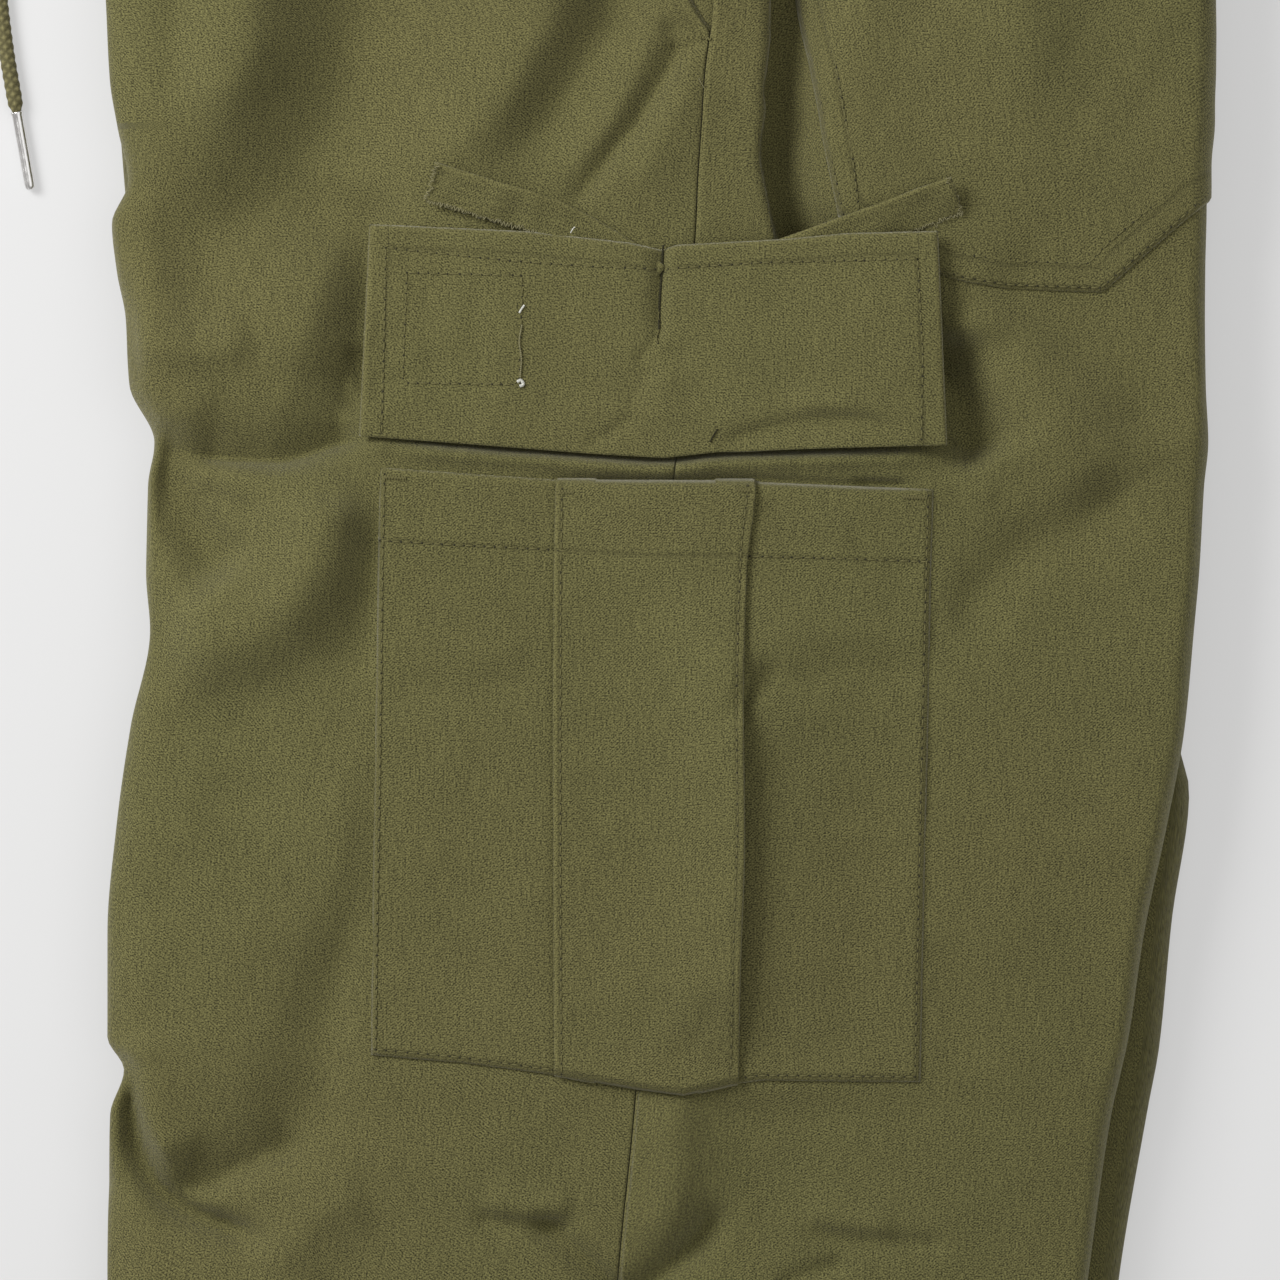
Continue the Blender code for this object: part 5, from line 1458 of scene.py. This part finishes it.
def frames_along(route):
    """Two directions square to a route at each of its points, without twist."""
    ahead = np.gradient(route, axis=0)
    ahead /= np.linalg.norm(ahead, axis=1)[:, None]
    up = np.array([0.0, 0.0, 1.0])
    side = np.cross(ahead, up)
    side /= np.maximum(np.linalg.norm(side, axis=1), 1e-6)[:, None]
    return side, np.cross(side, ahead)


def tube(route, radius, around):
    """Points round a route: radius may change along it and round it."""
    side, up = frames_along(route)
    angle = np.linspace(0, 2 * math.pi, around, endpoint=False)[:, None, None]
    radius = np.broadcast_to(radius, (around, len(route)))[..., None]
    return route[None] + radius * (np.cos(angle) * side[None] + np.sin(angle) * up[None])


def ring_object(name, points, material, fields=None):
    """A piece whose grid of points runs round it first and along it second."""
    around, along = points.shape[:2]
    faces = grid_faces(around, along, around=True, flip=True).reshape(-1, 4)
    surface = bpy.data.materials[material]
    return mesh_object(name, points.reshape(-1, 3), faces, surface, fields=fields)


def drawcord(name, line, node, tip_node):
    """A round braid: strands of two directions cross, and each is raised between crossings."""
    guide = smooth_line(line, CORD_POINTS, CORD_LOWEST)
    length = np.linalg.norm(np.diff(guide, axis=0), axis=1).sum()
    count, around = int(length / BRAID_STEP), 36
    route = smooth_line(guide, count)
    before = route[:1] - 0.01 * (route[1:2] - route[:1])
    after = route[-1:] + 0.01 * (route[-1:] - route[-2:-1])
    route = np.vstack([before, route, after])
    along = np.linspace(0, length, len(route))[None, :]
    angle = np.linspace(0, 2 * math.pi, around, endpoint=False)[:, None]
    turn = 2 * math.pi * along / BRAID_PITCH
    first = np.cos(BRAID_STRANDS * (angle + turn / 2))
    second = np.cos(BRAID_STRANDS * (angle - turn / 2))
    first_on_top = np.sin(BRAID_STRANDS * angle) * np.sin(BRAID_STRANDS / 2 * turn) > 0
    strand = np.where(first_on_top, first, second) * 0.5 + 0.5
    squeeze = 1 - TIP_SQUEEZE * np.exp(-((length - along) / TIP_SQUEEZE_LENGTH) ** 2)
    radius = CORD_RADIUS * (0.93 + 0.1 * strand) * squeeze
    radius[:, 0] = radius[:, -1] = 0.02
    points = tube(route, radius, around) * MM
    points[..., 2] = np.maximum(points[..., 2], 0.0001)
    fields = {"strand": strand.ravel()}
    obj = ring_object(name, points, "olive_braided_cord", fields)
    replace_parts(obj, node)
    heading = guide[-1] - guide[-2]
    heading[2] = 0.0
    heading /= np.linalg.norm(heading)
    tip = cord_tip(name.replace("cord", "tip"), guide[-1], heading, tip_node)


def cord_tip(name, end, heading, node):
    """A metal tube rolled round the cord's end: a rim, a straight body and a domed end."""
    profile = np.array((
        # along, radius
        (-0.5, 0.05), (-0.5, 1.7), (-0.45, 2.02), (-0.1, 2.12), (0.5, 2.06), (0.8, 1.92),
         (2.0, 1.9),
        (8.0, 1.88), (14.0, 1.86), (20.0, 1.84), (24.0, 1.82), (25.2, 1.7), (25.9, 1.3),
        (26.2, 0.8), (26.3, 0.05),
    ))
    start = np.array((end[0], end[1], TIP_RADIUS + TIP_LIFT)) + heading * TIP_GAP
    route = start[None] + profile[:, :1] * heading[None]
    around = 40
    angle = np.linspace(0, 2 * math.pi, around, endpoint=False)[:, None]
    # The rolled edge leaves one narrow groove along the tube.
    groove = 0.16 * np.exp(-((np.mod(angle - 0.9 + math.pi, 2 * math.pi) - math.pi) / 0.11) ** 2)
    side, up = np.cross(heading, (0.0, 0.0, 1.0)), np.array((0.0, 0.0, 1.0))
    radius = profile[None, :, 1] * (1 - groove)
    ring = radius[..., None] * (np.cos(angle)[..., None] * side + np.sin(angle)[..., None] * up)
    points = (route[None] + ring) * MM
    obj = ring_object(name, points, "plated_metal")
    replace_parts(obj, node)
    return obj


def eyelet(name, node):
    """A rolled ring in the place and tilt of its frame node: a flange round a raised lip."""
    low, high = (np.array(corner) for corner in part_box(node))
    centre = (low + high) / 2 / MM
    tall = (high - low)[2] / MM
    tilt = 0.0 if name.startswith("left") else math.asin(min(1.0, (tall - 2.2) / 10.0))
    profile = np.array((
        # out from the middle, up
        (3.1, -0.6), (3.0, 0.2), (3.2, 0.75), (3.7, 1.0), (4.4, 0.85), (5.2, 0.35), (5.9, 0.0),
        (6.05, -0.25), (5.8, -0.5), (4.4, -0.75), (3.1, -0.6),
    ))
    angle = np.linspace(0, 2 * math.pi, 56, endpoint=False)[:, None]
    x = profile[None, :, 0] * np.cos(angle)
    y = profile[None, :, 0] * np.sin(angle)
    z = profile[None, :, 1] + 0 * angle
    if tilt:
        # Its face looks away from the band: forwards and down.
        x, z = -(x * math.cos(tilt) + z * math.sin(tilt)), x * math.sin(tilt) - z * math.cos(tilt)
    points = (np.stack([x, y, z], axis=-1) + centre) * MM
    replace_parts(ring_object(name, points, "plated_metal"), node)


class TROUSERS_OT_cords(bpy.types.Operator):
    """Lay the drawcord's two free ends with their metal tips, and set the eyelets"""

    bl_idname = "trousers.cords"
    bl_label = "Drawcord and eyelets"

    def execute(self, context):
        drawcord("left_cord", LEFT_CORD, "left_drawcord", "left_aglet")
        drawcord("right_cord", RIGHT_CORD, "right_drawcord", "right_aglet")
        eyelet("left_ring", "left_eyelet")
        eyelet("right_ring", "right_eyelet")
        return {"FINISHED"}


# ---------------------------------------------------------------- stitches and threads

STITCH_LIFT = 0.08
STITCH_GAP = 0.14  # share of the pitch left free at each end of a stitch
STITCH_RADIUS = 0.30
STITCH_ARCH = 0.10
STITCH_JITTER = 0.06  # unevenness of the pitch, as a share of it
# The dark beads of painted shade at each needle hole: their sizes and height.
HOLE_SHADE_SIZES = (0.27, 0.42)
HOLE_SHADE_HEIGHT = 0.09
TACK_PITCH = 0.42
TACK_LIFT = 0.25
TACK_RADIUS = 0.27
TACK_ARCH = 0.15
DART_PITCH = 2.4
DART_LIFT = 0.1
# Frayed edges of the tabs: pitch, how far each thread reaches out and in, and their scatter
FRAY_PITCH = 0.62
FRAY_OUT = 0.35
FRAY_IN = -1.3
FRAY_SPREAD = 0.45
FRAY_SCATTER = 0.12
FRAY_LIFT = 0.25
FRAY_SIZES = (0.12, 0.24)
FRAY_ARCH = 0.2

# Rows of stitches: the piece that they are on, and the line that they follow
STITCH_ROWS = (
    ("pocket", ((-91.8, 182.0), (-92.4, 150), (-93.2, 90), (-94.2, 30), (-94.7, -9.8))),
    ("pocket", ((-94.7, -9.8), (-65, -12.6), (-36, -16.6))),
    ("pocket", ((28.6, -19.2), (34, -18.4), (85.0, -19.0))),
    ("pocket", ((85.0, -19.0), (86.6, 60), (88.2, 130), (89.4, 174.8))),
    ("pocket", ((-32.6, 177), (-33.0, 150), (-33.2, 100), (-33.1, 40), (-32.8, -18))),
    ("pocket", ((29.4, 178), (27.2, 160), (26.2, 140), (25.3, 108), (25.8, 66), (24.4, 24),
     (23.6, -16))),
    ("pocket", ((-93.4, 159.8), (-70, 158.4), (-37.2, 156.8))),
    ("pocket", ((-34.0, 156.4), (-5.6, 154.8), (27.0, 154.6))),
    ("pocket", ((30.0, 154.6), (60, 153.8), (89.6, 152.7))),
    ("flap", ((-91.3, 257.3), (-91.9, 226), (-92.7, 195.6))),
    ("flap", ((-91.3, 257.3), (-50.7, 253.0), (-22.7, 251.0), (-1.6, 250.2))),
    ("flap", ((2.7, 250.3), (33.7, 252.3), (85.7, 253.4))),
    ("flap", ((85.7, 253.4), (87.4, 221), (87.0, 193.4))),
    ("flap", ((-84.3, 249.0), (-45.7, 248.0), (-47.0, 211.7), (-85.7, 212.3), (-84.3, 249.0))),
    ("patch", ((39.9, 430), (42.8, 380), (47.3, 340), (51.6, 319), (57.3, 287), (61.2, 268.6))),
    ("patch", ((61.2, 268.6), (94.9, 249.4), (101.8, 247.4), (115.8, 245.1), (147.2, 244.1),
     (178.5, 271.5))),
    ("patch", ((66.4, 269.5), (94.7, 256.0), (118, 253.0), (143.3, 252.3), (149, 258.7),
     (174, 279.5))),
    ("patch", ((47.2, 428), (50.0, 380), (54.2, 340), (58.6, 319), (64.2, 287), (66.4, 269.5))),
    ("patch", ((39.5, 409), (80, 408), (130, 408), (174, 409))),
    ("panel", ((-158, -485), (-100, -485.5), (-37.5, -485))),
    ("panel", ((-36.0, -485), (20, -485.5), (82, -485))),
    ("panel", ((19.0, 466), (17.6, 420), (16.8, 386), (16.6, 346))),
)
# Dense rows that lock a corner: the piece, its two ends and the width
BARTACKS = (
    ("pocket", (-91.6, 181.0), (-84.6, 180.6), 1.6),
    ("pocket", (80.8, 174.4), (89.0, 174.0), 1.6),
    ("pocket", (-33.6, 176.0), (-28.6, 175.8), 1.5),
    ("pocket", (24.8, 176.6), (30.2, 176.4), 1.5),
    ("panel", (13.4, 327.6), (17.2, 326.9), 1.4),
)
# Loose ends, other single threads and dark lines of painted shade: piece, radius, colour, height over
# the piece, line
SINGLE_THREADS = (
    ("flap", 0.42, "white_thread", 0.5, ((-46.9, 235.6), (-46.1, 237.0), (-45.2, 238.2))),
    ("flap", 0.62, "white_thread", 0.6, ((-47.6, 212.6), (-46.4, 213.3), (-45.5, 211.8),
     (-46.8, 211.2))),
    ("flap", 0.30, "pale_thread", 0.5, ((-46.0, 231.6), (-46.9, 226.0), (-46.2, 220.5),
     (-46.6, 214.0))),
    ("flap", 0.22, "white_thread", 0.5, ((-29.8, 262.2), (-29.0, 263.6), (-28.3, 264.2))),
    # Painted shade: a dark line down the dart's groove.
    ("flap", 0.45, "needle_hole", 0.6, ((1.4, 258.4), (1.0, 250), (0.4, 243), (0.1, 237),
     (-0.3, 230))),
    ("flap", 0.24, "seam_thread", 0.5, ((0.3, 238), (-0.9, 234.6), (0.3, 231.6), (-1.1, 228),
     (-0.6, 225.4))),
    ("panel", 0.20, "pale_thread", 0.3, ((12.8, 313.8), (13.6, 312.2), (14.6, 310.6))),
    # Painted shade: a short dark line in the crease beside the flap's seam.
    ("flap", 0.30, "needle_hole", 0.4, ((19.2, 197.0), (18.0, 195.2), (16.6, 192.6))),
    ("panel", 0.22, "seam_thread", 1.2, ((94.2, 217.5), (97.4, 216.6), (99.6, 214.2))),
    ("panel", 0.22, "seam_thread", 1.0, ((94.8, 194.0), (97.6, 193.2), (99.0, 190.6))),
)
DART = ((0.8, 251.0), (0.0, 238.0), (-0.7, 225.6))


def over(host, points, lift):
    """Points on a piece, at a height over it, and the piece's normals there."""
    x, y = points[..., 0], points[..., 1]
    surface = HOSTS[host]
    z = surface(x, y)
    reach = 0.6
    slope_x = (surface(x + reach, y) - surface(x - reach, y)) / (2 * reach)
    slope_y = (surface(x, y + reach) - surface(x, y - reach)) / (2 * reach)
    normal = np.stack([-slope_x, -slope_y, np.ones_like(z)], axis=-1)
    normal /= np.linalg.norm(normal, axis=-1, keepdims=True)
    return np.stack([x, y, z], axis=-1) + lift * normal, normal


def walked(line, pitch, seed=0):
    """Points at an even pitch on straight runs between a line's corners."""
    p = np.array(line, float)
    along = np.concatenate([[0], np.cumsum(np.linalg.norm(np.diff(p, axis=0), axis=1))])
    count = max(2, int(round(along[-1] / pitch)) + 1)
    at = np.linspace(0, along[-1], count)
    if seed:
        at[1:-1] += np.random.default_rng(seed).normal(0, STITCH_JITTER * pitch, count - 2)
    return np.stack([np.interp(at, along, column) for column in p.T], axis=1)


def spindles(starts, ends, up, radius, arch):
    """Closed threads between pairs of points: a five-sided spindle that arches in its middle."""
    share = np.array((0.0, 0.14, 0.5, 0.86, 1.0))
    thick = np.array((0.0, 0.8, 1.0, 0.8, 0.0))
    ahead = ends - starts
    side = np.cross(ahead, up)
    side /= np.maximum(np.linalg.norm(side, axis=1, keepdims=True), 1e-9)
    angle = np.linspace(0, 2 * math.pi, 5, endpoint=False)
    middle = starts[:, None] + share[None, :, None] * ahead[:, None]
    middle = middle + (arch * np.sin(np.pi * share))[None, :, None] * up[:, None]
    ring = np.cos(angle)[None, None, :, None] * side[:, None, None]
    ring = ring + np.sin(angle)[None, None, :, None] * up[:, None, None]
    radius = np.broadcast_to(radius, (len(starts),))[:, None, None, None]
    points = middle[:, :, None] + radius * thick[None, :, None, None] * ring
    rings = points[:, 1:4].reshape(len(starts), 15, 3)
    points = np.concatenate([points[:, 0, :1], rings, points[:, 4, :1]], axis=1)
    faces = []
    for k in range(5):
        after = (k + 1) % 5
        faces.append((0, 1 + after, 1 + k))
        for ring_start in (1, 6):
            a, b = ring_start + k, ring_start + after
            faces += [(a, b, b + 5), (a, b + 5, a + 5)]
        faces.append((16, 11 + k, 11 + after))
    faces = np.array(faces)[None] + 17 * np.arange(len(starts))[:, None, None]
    return points.reshape(-1, 3), faces.reshape(-1, 3)


def beads(centres, up, radius, height):
    """Closed flat beads, six-sided, for the mouth of each needle hole, which is given near-black
    painted shade.
    """
    side = np.cross(up, np.array([0.0, 1.0, 0.0]))
    side /= np.linalg.norm(side, axis=1, keepdims=True)
    other = np.cross(up, side)
    angle = np.linspace(0, 2 * math.pi, 6, endpoint=False)
    across, along = np.cos(angle)[None, :, None], np.sin(angle)[None, :, None]
    ring = across * side[:, None] + along * other[:, None]
    radius = np.broadcast_to(radius, (len(centres),))[:, None, None]
    top, foot = (centres + height * up)[:, None], (centres - height * up)[:, None]
    points = np.concatenate([centres[:, None] + radius * ring, top, foot], axis=1)
    faces = [(k, (k + 1) % 6, 6) for k in range(6)] + [((k + 1) % 6, k, 7) for k in range(6)]
    faces = np.array(faces)[None] + 8 * np.arange(len(centres))[:, None, None]
    return points.reshape(-1, 3), faces.reshape(-1, 3)


def merged(parts):
    """One list of points and faces from several."""
    points, faces, count = [], [], 0
    for part_points, part_faces in parts:
        points.append(part_points)
        faces.append(part_faces + count)
        count += len(part_points)
    return np.concatenate(points), np.concatenate(faces)


def thread_object(name, parts, material):
    """One piece from several groups of threads or beads."""
    points, faces = merged(parts)
    return mesh_object(name, in_place(points), faces, bpy.data.materials[material])


class TROUSERS_OT_stitching(bpy.types.Operator):
    """Sew the rows of stitches, dark beads of painted shade at each needle hole, the bartacks, the
    dart and the loose ends
    """

    bl_idname = "trousers.stitching"
    bl_label = "Stitching"

    def execute(self, context):
        """Each row is walked at the stitch pitch; a stitch, or a dark bead of painted shade at a
        needle hole, sits at each step.
        """
        pitch = settings().stitch_pitch / MM
        stitches, hole_shades = [], []
        for number, (host, line) in enumerate(STITCH_ROWS):
            points = walked(line, pitch, seed=100 + number)
            places, up = over(host, points, STITCH_LIFT)
            starts, ends = places[:-1], places[1:]
            inset = STITCH_GAP * (ends - starts)
            sewn_from, sewn_to = starts + inset, ends - inset
            stitches.append(spindles(sewn_from, sewn_to, up[:-1], STITCH_RADIUS, STITCH_ARCH))
            size = np.random.default_rng(200 + number).uniform(*HOLE_SHADE_SIZES, len(places))
            hole_shades.append(beads(places, up, size, HOLE_SHADE_HEIGHT))
        tacks = []
        for host, start, end, width in BARTACKS:
            start, end = np.array(start), np.array(end)
            count = int(np.linalg.norm(end - start) / TACK_PITCH)
            share = np.linspace(0, 1, count)[:, None]
            across = np.array((start[1] - end[1], end[0] - start[0])) / np.linalg.norm(end - start)
            zigzag = start + share * (end - start)
            zigzag = zigzag + across * width * 0.5 * (-1.0) ** np.arange(count)[:, None]
            places, up = over(host, zigzag, TACK_LIFT)
            tacks.append(spindles(places[:-1], places[1:], up[:-1], TACK_RADIUS, TACK_ARCH))
        # Painted shade: dark beads along the dart's groove.
        places, up = over("flap", walked(DART, DART_PITCH), DART_LIFT)
        hole_shades.append(beads(places, up, HOLE_SHADE_SIZES[1], HOLE_SHADE_HEIGHT))
        thread_object("stitches", stitches, "seam_thread")
        thread_object("bartacks", tacks, "seam_thread")
        # The dark beads are painted shade at each needle hole and along the dart.
        thread_object("painted_hole_shades", hole_shades, "needle_hole")
        for number, (host, radius, material, lift, line) in enumerate(SINGLE_THREADS):
            places, up = over(host, smooth_line(line, 7 * len(line)), lift)
            starts = places[:-1] - 0.2 * np.diff(places, axis=0)
            parts = [spindles(starts, places[1:], up[:-1], radius, 0.0)]
            thread_object(f"loose_thread_{number}", parts, material)
        for name, line, seed in (("front", FRONT_TAB, 71), ("back", BACK_TAB, 72)):
            thread_object(f"tab_fray_{name}", [fray(line, seed)], "pale_thread")
        return {"FINISHED"}


def fray(line, seed):
    """Overlocked loops along a tab's lower edge and its free end: a zigzag of short threads."""
    route = smooth_line(line, 80)
    ahead = route[-1] - route[-4]
    ahead /= np.linalg.norm(ahead)
    across = np.array((-ahead[1], ahead[0]))
    if across[1] > 0:
        across = -across
    half = TAB_WIDTH / 2
    corner, far = route[-1] + across * half, route[-1] - across * half
    edge = walked([*(route[30:] + across * half), corner, far], FRAY_PITCH)
    draw = np.random.default_rng(seed)
    outward = np.where(np.arange(len(edge))[:, None] % 2, FRAY_OUT, FRAY_IN)
    outward = outward + draw.normal(0, FRAY_SPREAD, (len(edge), 1))
    on_end = np.linalg.norm(edge - far, axis=1) < TAB_WIDTH - 0.5
    direction = np.where(on_end[:, None], ahead, across)
    flat = edge + direction * outward + draw.normal(0, FRAY_SCATTER, edge.shape)
    share = np.clip(((edge - corner) @ -across) / TAB_WIDTH, 0.0, 1.0)
    places = np.column_stack([flat, TAB_Z + FRAY_LIFT + TAB_TILT * share])
    up = np.tile((0.0, 0.0, 1.0), (len(places) - 1, 1))
    return spindles(places[:-1], places[1:], up, draw.uniform(*FRAY_SIZES, len(up)), FRAY_ARCH)


# ---------------------------------------------------------------- table, light and camera

VIEW_CENTRE = (-6.67, 126.67)
VIEW_WIDTH = 426.7
TOP_Z = 30.5
LENS = 300.0
SENSOR = 36.0
TABLE_REACH = 3.0
TABLE_Z = -0.0004
WORLD_COLOUR = (1.0, 0.985, 0.965, 1.0)
WORLD_STRENGTH = 0.43
LIGHT_TARGET = (0.0, 0.1, 0.0)
# Each light's place, width and share of the power, in metres
LIGHTS = {"key": ((-1.12, 0.85, 1.12), 0.75, 1.0), "fill": ((0.6, 0.1, 1.8), 1.6, 0.25)}


def aim(obj, target):
    """Turns a light so that it looks at a point."""
    direction = np.array(target) - np.array(obj.location)
    tilt = math.atan2(math.hypot(direction[0], direction[1]), -direction[2])
    obj.rotation_euler = (tilt, 0.0, math.atan2(-direction[0], direction[1]))


def soft_light(name, place, width, power):
    """A square area light that faces the garment's middle."""
    data = bpy.data.lights.new(name, "AREA")
    data.shape = "SQUARE"
    data.size = width
    data.energy = power
    light = bpy.data.objects.new(name, data)
    light.location = place
    bpy.context.scene.collection.objects.link(light)
    aim(light, LIGHT_TARGET)


class TROUSERS_OT_stage(bpy.types.Operator):
    """Set up the table, the soft light from the upper left and the camera straight above"""

    bl_idname = "trousers.stage"
    bl_label = "Table, light and camera"

    def execute(self, context):
        scene = context.scene
        scene.view_settings.view_transform = "Standard"
        table_material()
        mesh = bpy.data.meshes.new("table")
        turns = ((-1, -1), (1, -1), (1, 1), (-1, 1))
        corners = [(TABLE_REACH * x, TABLE_REACH * y, TABLE_Z) for x, y in turns]
        mesh.from_pydata(corners, [], [(0, 1, 2, 3)])
        mesh.materials.append(bpy.data.materials["pale_table"])
        table = bpy.data.objects.new("table", mesh)
        scene.collection.objects.link(table)

        world = bpy.data.worlds.new("studio")
        world.use_nodes = True
        background = world.node_tree.nodes["Background"]
        background.inputs["Color"].default_value = WORLD_COLOUR
        background.inputs["Strength"].default_value = WORLD_STRENGTH
        scene.world = world
        for name, (place, width, share) in LIGHTS.items():
            soft_light(name, place, width, settings().light_power * share)

        data = bpy.data.cameras.new("camera")
        data.lens, data.sensor_width = LENS, SENSOR
        data.clip_start, data.clip_end = 0.05, 20.0
        camera = bpy.data.objects.new("camera", data)
        height = VIEW_WIDTH * LENS / SENSOR + TOP_Z
        camera.location = (VIEW_CENTRE[0] * MM, VIEW_CENTRE[1] * MM, height * MM)
        scene.collection.objects.link(camera)
        scene.camera = camera
        return {"FINISHED"}


# ---------------------------------------------------------------- add-on


class TROUSERS_PT_panel(bpy.types.Panel):
    """Lists the steps that build the trousers"""

    bl_label = "Cargo Trousers"
    bl_idname = "TROUSERS_PT_panel"
    bl_space_type = "VIEW_3D"
    bl_region_type = "UI"
    bl_category = "Trousers"

    def draw(self, context):
        for name in TrousersSettings.__annotations__:
            self.layout.prop(context.scene.cargo_trousers, name)
        for step in STEPS:
            self.layout.operator(step.bl_idname)


STEPS = (
    TROUSERS_OT_stage, TROUSERS_OT_materials, TROUSERS_OT_cords, TROUSERS_OT_upper_leg,
    TROUSERS_OT_lower_leg, TROUSERS_OT_cargo_pocket, TROUSERS_OT_back_pocket,
    TROUSERS_OT_waistband, TROUSERS_OT_stitching,
)
CLASSES = (TrousersSettings, *STEPS, TROUSERS_PT_panel)


def register():
    for cls in CLASSES:
        bpy.utils.register_class(cls)
    bpy.types.Scene.cargo_trousers = bpy.props.PointerProperty(type=TrousersSettings)


def unregister():
    del bpy.types.Scene.cargo_trousers
    for cls in reversed(CLASSES):
        bpy.utils.unregister_class(cls)


def main():
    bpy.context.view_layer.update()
    register()
    for step in STEPS:
        group, name = step.bl_idname.split(".")
        getattr(getattr(bpy.ops, group), name)()


if __name__ == "__main__":
    main()
